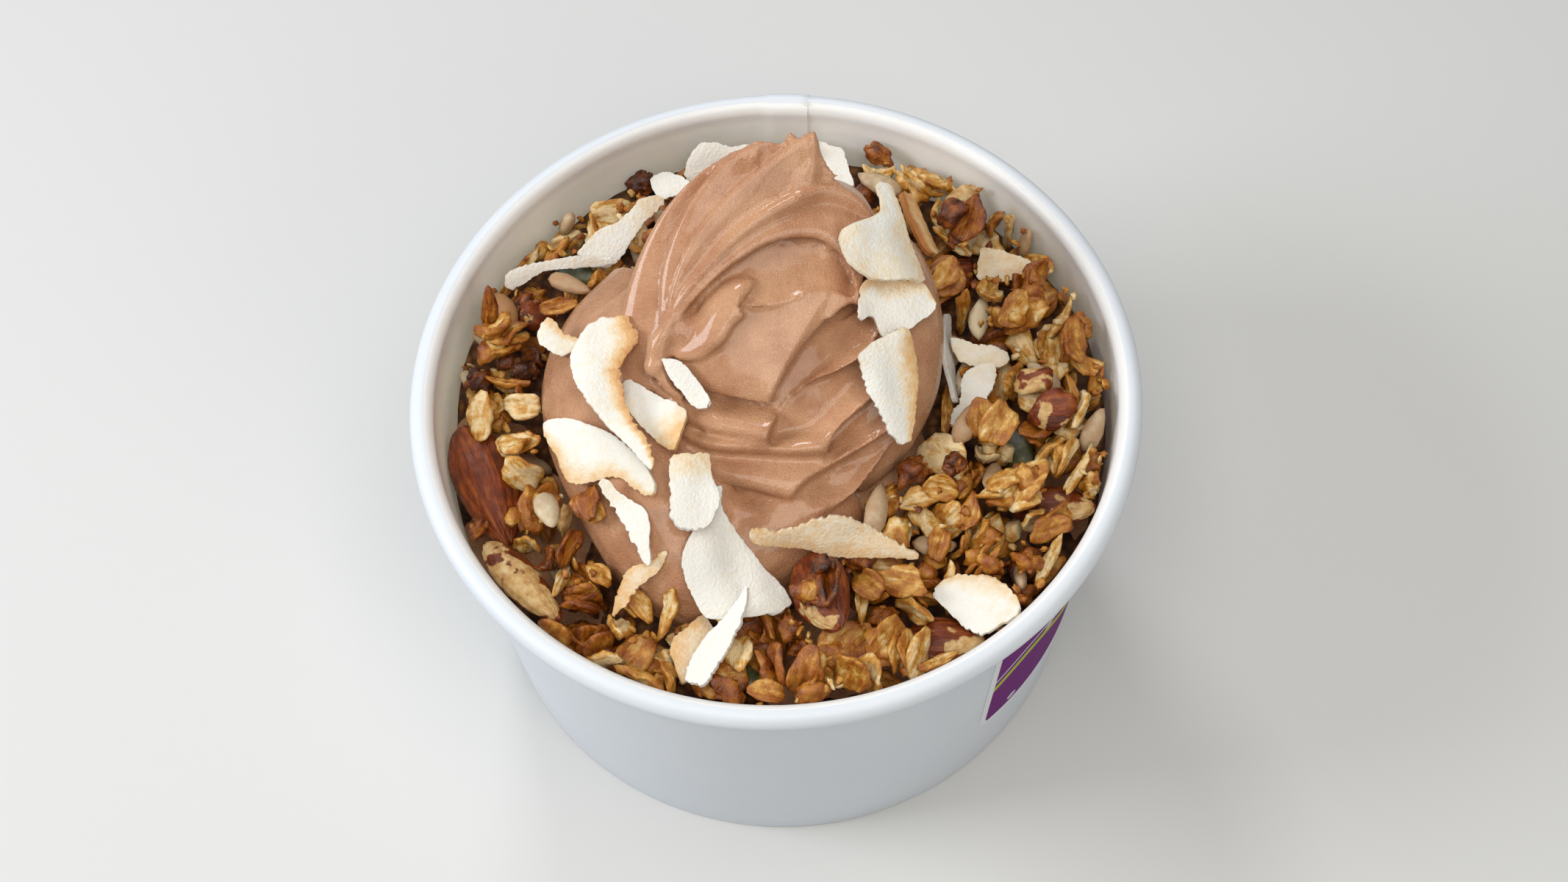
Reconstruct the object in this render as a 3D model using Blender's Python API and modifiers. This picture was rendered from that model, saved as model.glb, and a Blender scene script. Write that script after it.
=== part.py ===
"""Frozen yogurt cup: a paper tub of chocolate soft-serve with granola, coconut chips, almonds and seeds.

Sizes below are in millimetres and are scaled to metres as the meshes are made.
Origin: on the tub's axis, in the plane it stands on. +Z is up and -Y faces the eater.
"""
import math
import random

import bmesh
import bpy
import numpy as np
from mathutils import Euler, Matrix, Vector
from mathutils.bvhtree import BVHTree

MM = 0.001
GAP = 0.35                      # clear gap between neighbouring pieces

# The tub: a 115 mm paper bowl
TUB_HEIGHT = 63.0
BASE_RADIUS = 49.0
RIM_RADIUS = 57.5
BEAD_RADIUS = 1.9               # the rolled rim's own radius
PAPER = 0.55                    # wall thickness
FOOT_HEIGHT = 7.3
FOOT_WIDTH = 1.4                # folded foot ring that the tub stands on
FLOOR_TOP = 7.0
FLOOR_THICKNESS = 0.6
ROUND_STEPS = 48
BEAD_CENTRE = (RIM_RADIUS - BEAD_RADIUS, TUB_HEIGHT - BEAD_RADIUS)
WALL_TOP_RADIUS = RIM_RADIUS - 2 * BEAD_RADIUS + PAPER

# The sticker on the wall's right-hand front
LABEL_FROM = -53.5
LABEL_TO = 12.0
LABEL_BOTTOM = 18.0
LABEL_TOP = 55.0
LABEL_THICKNESS = 0.25

# Fillings
FILL_LEVEL = 46.0
FILL_BOTTOM = FOOT_HEIGHT + GAP
HEAP_FLOOR = FILL_LEVEL + GAP
HEAP_MEAN = 53.4
DENT = 3.6                      # how deep an almond or a baked cluster is pressed in
SWIRL_CENTRE = np.array([1.0, 6.0, 56.0])
SWIRL_VOXEL = 1.1
SWIRL_TRIANGLES = 2700
CHIP_THICKNESS = 1.1
CHIP_SAG = 0.02                  # how far a chip's sides curl down, per mm from its middle squared
SHARP_ANGLE = 40                # degrees, above which an edge is shown sharp

MATERIALS = {
    "paper": ((0.83, 0.83, 0.81), 0.6),
    "print": ((0.06, 0.0, 0.07), 0.35),
    "yogurt": ((0.42, 0.20, 0.11), 0.4),
    "granola": ((0.45, 0.24, 0.08), 0.7),
    "coconut": ((0.85, 0.78, 0.66), 0.65),
    "almond": ((0.22, 0.06, 0.02), 0.55),
    "pumpkin_seed": ((0.05, 0.06, 0.02), 0.5),
}


# ---------------------------------------------------------------- scene helpers

def clear_scene():
    for ob in list(bpy.data.objects):
        bpy.data.objects.remove(ob)


def make_collection():
    col = bpy.data.collections.new("frozen_yogurt_cup")
    bpy.context.scene.collection.children.link(col)
    return col


def material(name):
    if name in bpy.data.materials:
        return bpy.data.materials[name]
    colour, roughness = MATERIALS[name]
    mat = bpy.data.materials.new(name)
    mat.use_nodes = True
    shader = mat.node_tree.nodes["Principled BSDF"]
    shader.inputs["Base Color"].default_value = (*colour, 1)
    shader.inputs["Roughness"].default_value = roughness
    shader.inputs["Metallic"].default_value = 0.0
    return mat


def add_object(name, mesh, mat):
    ob = bpy.data.objects.new(name, mesh)
    mesh.materials.clear()
    mesh.materials.append(material(mat))
    COLLECTION.objects.link(ob)
    return ob


def mesh_from(bm, name):
    mesh = bpy.data.meshes.new(name)
    bm.to_mesh(mesh)
    bm.free()
    return mesh


def evaluated_mesh(ob):
    bpy.context.view_layer.update()
    graph = bpy.context.evaluated_depsgraph_get()
    return bpy.data.meshes.new_from_object(ob.evaluated_get(graph))


# ---------------------------------------------------------------- the tub

def wall_radius(z):
    """Outer radius of the tapered wall at height z."""
    return BASE_RADIUS + (WALL_TOP_RADIUS - BASE_RADIUS) * z / BEAD_CENTRE[1]


def inner_radius(z):
    return wall_radius(z) - PAPER


def arc(centre, radius, start, end, steps):
    angles = [math.radians(start + (end - start) * k / steps) for k in range(steps + 1)]
    return [(centre[0] + radius * math.cos(a), centre[1] + radius * math.sin(a)) for a in angles]


def turned(name, profile, mat):
    """A closed profile (radius, height) turned about the axis with a Screw modifier."""
    bm = bmesh.new()
    verts = [bm.verts.new((r * MM, 0, z * MM)) for r, z in profile]
    for a, b in zip(verts, verts[1:] + verts[:1]):
        bm.edges.new((a, b))
    ob = add_object(name, mesh_from(bm, name), mat)
    screw = ob.modifiers.new("turn", "SCREW")
    screw.steps = screw.render_steps = ROUND_STEPS
    screw.use_merge_vertices = True
    screw.merge_threshold = 0.00001
    screw.use_smooth_shade = False
    return ob


def tub_side():
    """Tapered wall with a folded foot and a rim rolled outwards into a hollow bead."""
    foot_in = FOOT_WIDTH
    profile = [(wall_radius(0) - foot_in, 0.0),
               (wall_radius(FOOT_HEIGHT) - foot_in, FOOT_HEIGHT - 0.4),
               (inner_radius(FOOT_HEIGHT), FOOT_HEIGHT)]
    profile += arc(BEAD_CENTRE, BEAD_RADIUS, 180, -125, 9)
    profile += arc(BEAD_CENTRE, BEAD_RADIUS - PAPER, -125, 168, 7)
    profile += [(wall_radius(0), 0.0)]
    return turned("cup_side", profile, "paper")


def tub_floor():
    radius = wall_radius(FLOOR_TOP) - FOOT_WIDTH - GAP
    bm = bmesh.new()
    bmesh.ops.create_cone(bm, cap_ends=True, segments=ROUND_STEPS, radius1=radius * MM,
                          radius2=radius * MM, depth=FLOOR_THICKNESS * MM)
    ob = add_object("cup_bottom", mesh_from(bm, "cup_bottom"), "paper")
    ob.location = (0, 0, (FLOOR_TOP - FLOOR_THICKNESS / 2) * MM)
    return ob


def label():
    """The sticker: a sheet bent round the cone of the wall."""
    across, tall = 16, 1
    bm = bmesh.new()
    rows = []
    for j in range(tall + 1):
        z = LABEL_BOTTOM + (LABEL_TOP - LABEL_BOTTOM) * j / tall
        r = wall_radius(z) + GAP
        row = []
        for i in range(across + 1):
            a = math.radians(LABEL_FROM + (LABEL_TO - LABEL_FROM) * i / across)
            row.append(bm.verts.new((r * math.cos(a) * MM, r * math.sin(a) * MM, z * MM)))
        rows.append(row)
    for low, high in zip(rows, rows[1:]):
        for i in range(across):
            bm.faces.new((low[i], low[i + 1], high[i + 1], high[i]))
    ob = add_object("label", mesh_from(bm, "label"), "print")
    solid = ob.modifiers.new("thickness", "SOLIDIFY")
    solid.thickness = LABEL_THICKNESS * MM
    solid.offset = 1.0
    return ob


# ---------------------------------------------------------------- soft shapes

def spline(points, steps):
    """Catmull-Rom curve through the points."""
    p = np.array(points, float)
    p = np.vstack([2 * p[0] - p[1], p, 2 * p[-1] - p[-2]])
    out = []
    for a, b, c, d in zip(p, p[1:], p[2:], p[3:]):
        for k in range(steps):
            t = k / steps
            out.append(0.5 * (2 * b + (c - a) * t + (2 * a - 5 * b + 4 * c - d) * t ** 2
                              + (3 * b - 3 * c + d - a) * t ** 3))
    out.append(p[-2])
    return np.array(out)


def resampled(points, count):
    """The curve through the points, as this many points evenly spaced along it."""
    line = spline(points, 12)
    along = np.concatenate([[0], np.cumsum(np.linalg.norm(np.diff(line, axis=0), axis=1))])
    at = np.linspace(0, along[-1], count)
    return np.stack([np.interp(at, along, line[:, k]) for k in range(3)], 1)


def closed_spline(ring, steps=3):
    p = np.array(ring, float)
    whole = spline(np.vstack([p[-1], p, p[:2]]), steps)
    return whole[steps:-1 - steps]


def smooth_step(x):
    x = min(1.0, max(0.0, x))
    return x * x * (3 - 2 * x)


def frames(path):
    """For each point: outward direction from the swirl's middle, and the direction down its face."""
    along = np.gradient(path, axis=0)
    along /= np.linalg.norm(along, axis=1)[:, None]
    out = path - SWIRL_CENTRE
    out -= (out * along).sum(1)[:, None] * along
    out /= np.linalg.norm(out, axis=1)[:, None]
    return out, np.cross(along, out)


def loft(rings):
    """A closed solid through rings of equal length, with its ends capped."""
    bm = bmesh.new()
    rows = [[bm.verts.new(Vector(p) * MM) for p in ring] for ring in rings]
    count = len(rows[0])
    for a, b in zip(rows, rows[1:]):
        for i in range(count):
            j = (i + 1) % count
            bm.faces.new((a[i], a[j], b[j], b[i]))
    bm.faces.new(rows[0][::-1])
    bm.faces.new(rows[-1])
    bmesh.ops.triangulate(bm, faces=bm.faces[:])
    bmesh.ops.recalc_face_normals(bm, faces=bm.faces[:])
    return mesh_from(bm, "loft")


def rope(points, radii, flat=0.8, sides=14):
    """A soft rope whose outer side follows the points."""
    path = spline(points, 8)
    out, down = frames(path)
    size = np.interp(np.linspace(0, 1, len(path)), np.linspace(0, 1, len(radii)), radii)
    turns = np.linspace(0, 2 * math.pi, sides, endpoint=False)
    return loft([[q - n * k * flat + s * k * math.cos(a) + n * k * flat * math.sin(a) for a in turns]
                 for q, n, s, k in zip(path, out, down, size)])


def ridge(points, upper, lower, bulge, start, end, reach, crest=0.7):
    """A crest through the points. upper and lower are the (width, drop) of its two sides."""
    path = spline(points, 8)
    out, down = frames(path)
    rings = []
    for i, (q, n, s) in enumerate(zip(path, out, down)):
        u = i / (len(path) - 1)
        k = start + (1 - start) * smooth_step(u / reach[0])
        k *= end + (1 - end) * smooth_step((1 - u) / reach[1])
        sides = [(0, 0), (lower[0] * 0.15, -crest * 0.25), (lower[0] * 0.8, bulge * 0.3 - lower[1] * 0.6),
                 (lower[0], -lower[1]), (0, -6 - lower[1]), (-upper[0], -upper[1] - 3.5), (-upper[0], -upper[1]),
                 (-upper[0] * 0.5, bulge - upper[1] * 0.5), (-upper[0] * 0.15, bulge * 0.45 - upper[1] * 0.15)]
        rings.append(closed_spline([q + s * a * k + n * b * k for a, b in sides]))
    return loft(rings)


FOLD_STATIONS = 26


def fold(lip, root, sole, depth, roll=0.0, recess=0.5, scoop=0.0, leaf=0.0):
    """A fold lying on the one below.

    Its face runs from the root, this depth under the fold above, to the lip. A lip is one curve, or two
    that meet in a corner: a soft roll at the front, then a sharp crest with a leaf-shaped hollow behind it.
    """
    sole = np.array(sole, float)
    rings = []
    for part, (lip_part, root_part) in enumerate(zip(lip, root)):
        path = resampled(lip_part, FOLD_STATIONS)
        base = resampled(root_part, FOLD_STATIONS)
        for i in range(part, FOLD_STATIONS):
            u = i / (FOLD_STATIONS - 1)
            side = smooth_step(u / 0.15) if part else 0.0
            drop = depth + leaf * side * (1 - u) ** 0.6
            q = path[i]
            b = base[i] - (0, 0, drop)
            away = (q - b) * (1, 1, 0)
            away /= np.linalg.norm(away) + 1e-6
            face = []
            for v in (0.97, 0.82, 0.66, 0.5, 0.36, 0.24, 0.14, 0.06):
                lift = (1 - side) * roll * math.sin(math.pi * v ** 0.5) - side * scoop * math.sin(math.pi * v ** 0.7)
                face.append(q + (b - q) * v + (0, 0, lift))
            low = q - away * drop * recess - (0, 0, drop)
            edge = [q, q - away * drop * recess * 0.35 - (0, 0, 0.35 + drop * 0.25),
                    q - away * drop * recess * 0.8 - (0, 0, drop * 0.65)]
            rings.append(face + edge + [low + (sole - low) * v for v in (0, 0.3, 0.9)])
    return loft(rings)


def ellipsoid(centre, radii):
    bm = bmesh.new()
    bmesh.ops.create_uvsphere(bm, u_segments=32, v_segments=20, radius=1.0)
    bm.transform(Matrix.Translation(Vector(centre) * MM) @ Matrix.Diagonal((*(Vector(radii) * MM), 1)))
    return mesh_from(bm, "ellipsoid")


# ---------------------------------------------------------------- the swirl

# Crest lines of the crown, from the torn peak round the left to the neck
OUTER_CREST = [(-1, 27, 90), (-7.5, 25.6, 87.3), (-14.2, 22.2, 83), (-19, 17.5, 78.3), (-22.8, 11, 73),
               (-25, 4, 68.5), (-25.5, -3, 65), (-23, -10, 62)]
SECOND_CREST = [(-0.4, 27, 90.5), (-6, 25, 88.8), (-10.5, 21.5, 86), (-14.2, 17, 82.6), (-16.6, 12, 79.3),
                (-17.2, 7, 76.6), (-17.2, 2, 75)]
THIRD_CREST = [(6.6, 27.4, 91.8), (1, 24.2, 90), (-4.6, 20.6, 88.2), (-9.8, 16.2, 85.8), (-13.2, 11.5, 83),
               (-15.3, 7.2, 80), (-16.5, 3, 77.3)]
FOURTH_CREST = [(17, 17.4, 82.3), (13.8, 20.3, 85.2), (8.8, 20.8, 87), (2.4, 17.9, 87.2), (-4, 14.2, 86),
                (-9.2, 10, 83.6), (-13.1, 6.4, 81), (-15.8, 3, 77.7)]
CROWN_LIP = [(13.7, 4.6, 78), (12.6, 7.2, 79.8), (11.9, 10.3, 81.6), (8, 13.4, 83.4), (1.5, 12.9, 84.2),
             (-5, 9.9, 83.2), (-9.9, 6.7, 81.3), (-14, 3.4, 78.4)]

# The ledge at the top of the main lobe, and the lips of the lobe and the four pleats below it.
# Each lip is a front part, then a side part from its corner up to the right.
LEDGE = [(-12.6, -0.6, 76.2), (-9.4, 1.6, 77.6), (-6, 4.3, 80), (-2.2, 4, 80.2), (1.9, 4.5, 80.2),
         (6, 6, 80.4), (9.8, 5.8, 80), (13.5, 4.3, 78.5)]
LOBE_ROOT = ([(-14.5, 1, 75), (-12, 1.5, 76.4), (-8, 4, 78.8), (-3, 5.6, 80.2), (4, 6.4, 80.4), (9, 7.2, 80.5)],
             [(9, 7.2, 80.5), (11.5, 6.6, 80), (13.4, 5.6, 79), (15, 8, 77.5), (16, 12, 75)])
LIPS = [
    ([(-17.5, 2, 71), (-14.7, -1.7, 71.8), (-10.4, -5.6, 72.2), (-4.6, -7.8, 72.6), (-1, -8.9, 72.9)],
     [(-1, -8.9, 72.9), (0.6, -6.4, 74), (3.9, -1.6, 76.2), (8.2, 2.9, 78), (11.8, 5.2, 78.8), (15, 8, 77.5),
      (16, 12, 75)]),
    ([(-19, -3, 68.5), (-16.4, -7.4, 69.2), (-11.1, -10.9, 69.5), (-4.9, -13, 69.8), (-1.6, -14.4, 70)],
     [(-1.6, -14.4, 70), (-0.6, -11.6, 71.4), (1.4, -8.8, 72.6), (5.4, -6.2, 74), (10, -4.6, 74.5),
      (14.6, -1.6, 74.6), (18, 5, 74), (18.4, 12, 72)]),
    ([(-18, -8, 66.5), (-11.3, -13.2, 68), (-4, -14.6, 68.2), (2.5, -15.3, 68.2), (7.4, -15.4, 68)],
     [(7.4, -15.4, 68), (9.2, -12.4, 69.7), (11.8, -10.2, 70.8), (14.8, -8, 71.3), (18, -4, 72), (20.6, 3, 72),
      (21, 12, 70.5)]),
    ([(-18, -12, 64), (-9.5, -17.5, 65.3), (-3.5, -19.6, 65), (1.4, -21.2, 64.6)],
     [(1.4, -21.2, 64.6), (3.6, -19, 66), (6.4, -17.4, 66.8), (9.5, -16, 67.3), (14.8, -13.3, 67.8),
      (18.4, -10.4, 68.2), (22.5, -2, 69), (23.6, 10, 68.5)]),
    ([(-20, -14, 60.5), (-11, -21, 62), (-5.6, -23, 61.7), (0.6, -24.2, 61.2), (6.6, -22.8, 61.8)],
     [(6.6, -22.8, 61.8), (12.7, -18.5, 63.6), (17.5, -12.7, 65.6), (21.5, -7.6, 67), (24.5, 2, 69),
      (25.4, 9, 68.6), (24.5, 16, 66)])]


def swirl_body():
    """Rounded masses under the folds."""
    return [ellipsoid((2, 8, 56), (24, 24, 19)),
            ellipsoid((2, 18, 64), (14, 10, 15)),
            ellipsoid((3.5, 11.5, 72.2), (11, 8, 6.6)),
            ellipsoid((3, 1, 59), (17, 16, 12)),
            ellipsoid((-4, -8, 50), (28, 24, 9)),
            ellipsoid((-4, 8, 52), (27, 28, 13)),
            rope([(3, 27.5, 88), (8, 24, 80), (12, 19, 74), (18, 12, 68)], [3, 6, 8, 9]),
            rope([(5, 27, 86), (5, 30, 79), (4, 35.5, 70), (3, 40.5, 61), (2, 43, 52)], [2.5, 5, 8.5, 10, 8]),
            rope([(-4, 26.5, 84), (-7, 29, 76), (-9, 32.5, 67), (-10, 35, 57)], [3.5, 6, 7.5, 8]),
            rope([(10, 24.5, 83), (12, 25.5, 76), (14, 27, 67), (15, 28, 57)], [4, 6, 7.5, 8])]


def shifted(points, *offset):
    return [tuple(a + b for a, b in zip(p, offset)) for p in points]


def swirl_crown():
    """The torn peak, and the strands that run from it round the left to the neck."""
    return [
        fold([OUTER_CREST], [SECOND_CREST], (0, 18, 68), 2.0, 1.4, recess=0.2),
        fold([SECOND_CREST], [THIRD_CREST], (0, 18, 72), 1.8, 0.9, recess=0.3),
        fold([THIRD_CREST], [FOURTH_CREST], (3, 18, 72), 1.9, 0.9, recess=0.3),
        ridge(FOURTH_CREST, (1.0, 2.0), (5, 2.2), 0.8, 0.35, 0.25, (0.15, 0.6)),
        fold([CROWN_LIP], [FOURTH_CREST], (5, 20, 72), 2.0, 0.7, recess=1.0),
        fold([LEDGE], [shifted(CROWN_LIP[::-1], -0.5, 2.6, 0)], (3, 12, 70), 1.9, -0.9),
        rope([(4.6, 28, 91.4), (6.3, 27, 89.5), (8.3, 24.5, 86), (11, 20, 80)], [0.7, 2.0, 4.5, 7]),
        rope([(8.3, 27.7, 91.9), (8.9, 26.5, 89), (10, 24, 85), (12, 19, 79)], [0.7, 2.2, 4.5, 7]),
        rope([(-0.3, 27.5, 90.4), (0.5, 26, 88), (2, 22, 83)], [0.8, 3, 6]),
        rope([(10, 18, 84), (14, 18, 82.6), (16.6, 17, 81), (17, 14, 78)], [4, 4.4, 4, 2.6]),
        rope([(-15.4, 0.2, 75.4), (-12.6, 0.2, 76.8), (-10.2, 1.6, 78.6), (-8.3, 4.0, 80.2), (-6.2, 5.6, 81.2),
              (-4.4, 6.2, 81.5), (-3.4, 5.6, 81)], [1.6, 2.8, 3.4, 3.6, 3.8, 3.4, 2.2], flat=0.42),
        ellipsoid((-13.4, 3.6, 75.6), (3.4, 3.4, 2.6)),
        ridge([(-29, 12.5, 66), (-25.4, 13.6, 68.6), (-21.6, 14.8, 70.8), (-18.4, 15, 72.8), (-16.5, 13.5, 75)],
              (3.5, 2.4), (4, 1.6), 0.6, 0.4, 0.3, (0.3, 0.5))]


def swirl_folds():
    """The main lobe and the pleats stacked below it."""
    soles = [(1, 6, 66), (2, 4, 63), (3, 3, 61), (4, 2, 58), (2, 0, 55)]
    roots = [LOBE_ROOT] + LIPS[:-1]
    depths = (0.6, 2.4, 1.8, 1.8, 2.6)
    leaves = (0, 4.2, 3.2, 2.2, 1.8)
    return [fold(lip, root, sole, depth, 1.2, scoop=0.8 if leaf else 0.0, leaf=leaf)
            for lip, root, sole, depth, leaf in zip(LIPS, roots, soles, depths, leaves)]


def swirl_coils():
    """The outer coil at the right, the two coils at the foot, and the knot where the strands meet."""
    return [
        rope([(17, 21, 77), (22, 17.5, 76), (24.8, 12, 74), (26, 6, 71), (25.5, 0, 68), (23.8, -5.5, 65.5),
              (19, -12.4, 62), (12, -17, 58.5)], [4, 6, 7, 7.5, 7.5, 7.5, 7, 6], flat=1.0),
        rope([(-26, 26, 56), (-33, 17, 57), (-37, 6, 57.5), (-36, -6, 57.5), (-31.5, -18, 57), (-26, -28, 56),
              (-20, -34, 54), (-13, -36, 53), (-6, -33.5, 53), (0, -30.5, 54), (6, -27, 54.5), (12, -22, 52)],
             [8, 10, 11, 11, 11, 10.5, 9.5, 9, 9, 9, 8.5, 7], flat=1.0),
        rope([(-27, 10, 62.5), (-30, 2, 61.5), (-29.5, -7, 61), (-25, -16, 60.5), (-19, -23, 59.5),
              (-11, -27, 56.5), (-2, -26, 53.5), (6, -22, 52)], [7, 8, 8, 8, 8, 7, 6.5, 6], flat=1.0),
        rope([(-15.6, 4.5, 79), (-17.3, 2, 77.8), (-18.7, 0.4, 76.4), (-18.9, -2.1, 74.6)], [1.2, 1.5, 2.0, 1.7],
             flat=1.0),
        ellipsoid((-18.2, -1.6, 73.6), (1.7, 1.8, 1.6)),
        rope([(-18, -2.4, 73.8), (-17.2, -4.4, 72.8), (-15.8, -5.8, 72.2), (-14, -6.6, 71.8)],
             [1.2, 1.0, 0.9, 0.5], flat=1.0)]


def yogurt():
    """The swirl, fused from its folds and joined to the fill below it."""
    bm = bmesh.new()
    for mesh in swirl_body() + swirl_crown() + swirl_folds() + swirl_coils():
        bm.from_mesh(mesh)
        bpy.data.meshes.remove(mesh)
    draft = add_object("swirl_draft", mesh_from(bm, "swirl_draft"), "yogurt")
    fuse = draft.modifiers.new("fuse", "REMESH")
    fuse.mode = "VOXEL"
    fuse.voxel_size = SWIRL_VOXEL * MM
    soften = draft.modifiers.new("soften", "SMOOTH")
    soften.factor = 0.5
    soften.iterations = 2
    fused = evaluated_mesh(draft)
    bpy.data.objects.remove(draft)
    fused.calc_loop_triangles()
    swirl = add_object("swirl", fused, "yogurt")
    reduce = swirl.modifiers.new("reduce", "DECIMATE")
    reduce.ratio = SWIRL_TRIANGLES / len(fused.loop_triangles)
    swirl.data = evaluated_mesh(swirl)
    swirl.modifiers.clear()

    height = FILL_LEVEL - FILL_BOTTOM
    bm = bmesh.new()
    bmesh.ops.create_cone(bm, cap_ends=True, segments=ROUND_STEPS,
                          radius1=(inner_radius(FILL_BOTTOM) - GAP) * MM,
                          radius2=(inner_radius(FILL_LEVEL) - GAP) * MM, depth=height * MM)
    bm.transform(Matrix.Translation((0, 0, (FILL_BOTTOM + height / 2) * MM)))
    ob = add_object("yogurt", mesh_from(bm, "yogurt"), "yogurt")
    join = ob.modifiers.new("join", "BOOLEAN")
    join.operation = "UNION"
    join.object = swirl
    ob.data = evaluated_mesh(ob)
    ob.modifiers.clear()
    bpy.data.objects.remove(swirl)
    return ob


# ---------------------------------------------------------------- the granola heap

def tree_of(ob):
    mesh = evaluated_mesh(ob)
    mesh.transform(ob.matrix_world)
    points = [v.co.copy() for v in mesh.vertices]
    tree = BVHTree.FromPolygons(points, [tuple(p.vertices) for p in mesh.polygons])
    bpy.data.meshes.remove(mesh)
    return tree, points


def heap_height(x, y):
    """Top of the loose granola: uneven, and dented where an almond or a cluster is half buried."""
    r = math.hypot(x, y)
    a = math.atan2(y, x)
    uneven = math.sin(7 * a + 0.12 * r) + 0.8 * math.sin(11 * a - 0.3 * r + 1.0) + 0.7 * math.sin(4 * a + 0.5 * r)
    top = HEAP_MEAN + 0.55 * uneven
    for middle, _, size in ALMONDS + CLUSTERS:
        away = math.hypot(x - middle[0], y - middle[1]) / size[0]
        top -= DENT * smooth_step(1.4 - 1.4 * away)
    return top


def swirl_reach(tree, angle):
    """Radius just outside the swirl on one bearing, looking in from the wall over a narrow fan."""
    widest = 0.0
    for turn_by in (-0.05, -0.025, 0, 0.025, 0.05):
        out = Vector((math.cos(angle + turn_by), math.sin(angle + turn_by), 0))
        for z in np.arange(FILL_LEVEL + 0.1, HEAP_MEAN + 3.5, 0.5):
            hit = tree.ray_cast((out * 60 + Vector((0, 0, z))) * MM, -out)[0]
            if hit:
                widest = max(widest, hit.xy.length / MM)
    return widest + 0.6


def heap(yogurt_ob):
    """A ring of granola between the swirl and the wall."""
    tree, _ = tree_of(yogurt_ob)
    spokes = 60
    outer = inner_radius(HEAP_FLOOR) - GAP
    bm = bmesh.new()
    rows = []
    for i in range(spokes):
        angle = 2 * math.pi * i / spokes
        out = Vector((math.cos(angle), math.sin(angle), 0))
        inner = swirl_reach(tree, angle)
        ring = [out * inner + Vector((0, 0, HEAP_FLOOR))]
        for v in (0.0, 0.2, 0.4, 0.6, 0.8, 1.0):
            p = out * (inner + (outer - inner) * v)
            ring.append(p + Vector((0, 0, heap_height(p.x, p.y))))
        ring.append(out * outer + Vector((0, 0, HEAP_FLOOR)))
        rows.append([bm.verts.new(p * MM) for p in ring])
    for a, b in zip(rows, rows[1:] + rows[:1]):
        for i in range(len(a)):
            j = (i + 1) % len(a)
            bm.faces.new((a[i], b[i], b[j], a[j]))
    bmesh.ops.triangulate(bm, faces=bm.faces[:])
    bmesh.ops.recalc_face_normals(bm, faces=bm.faces[:])
    return add_object("granola", mesh_from(bm, "granola"), "granola")


# ---------------------------------------------------------------- toppings

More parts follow.
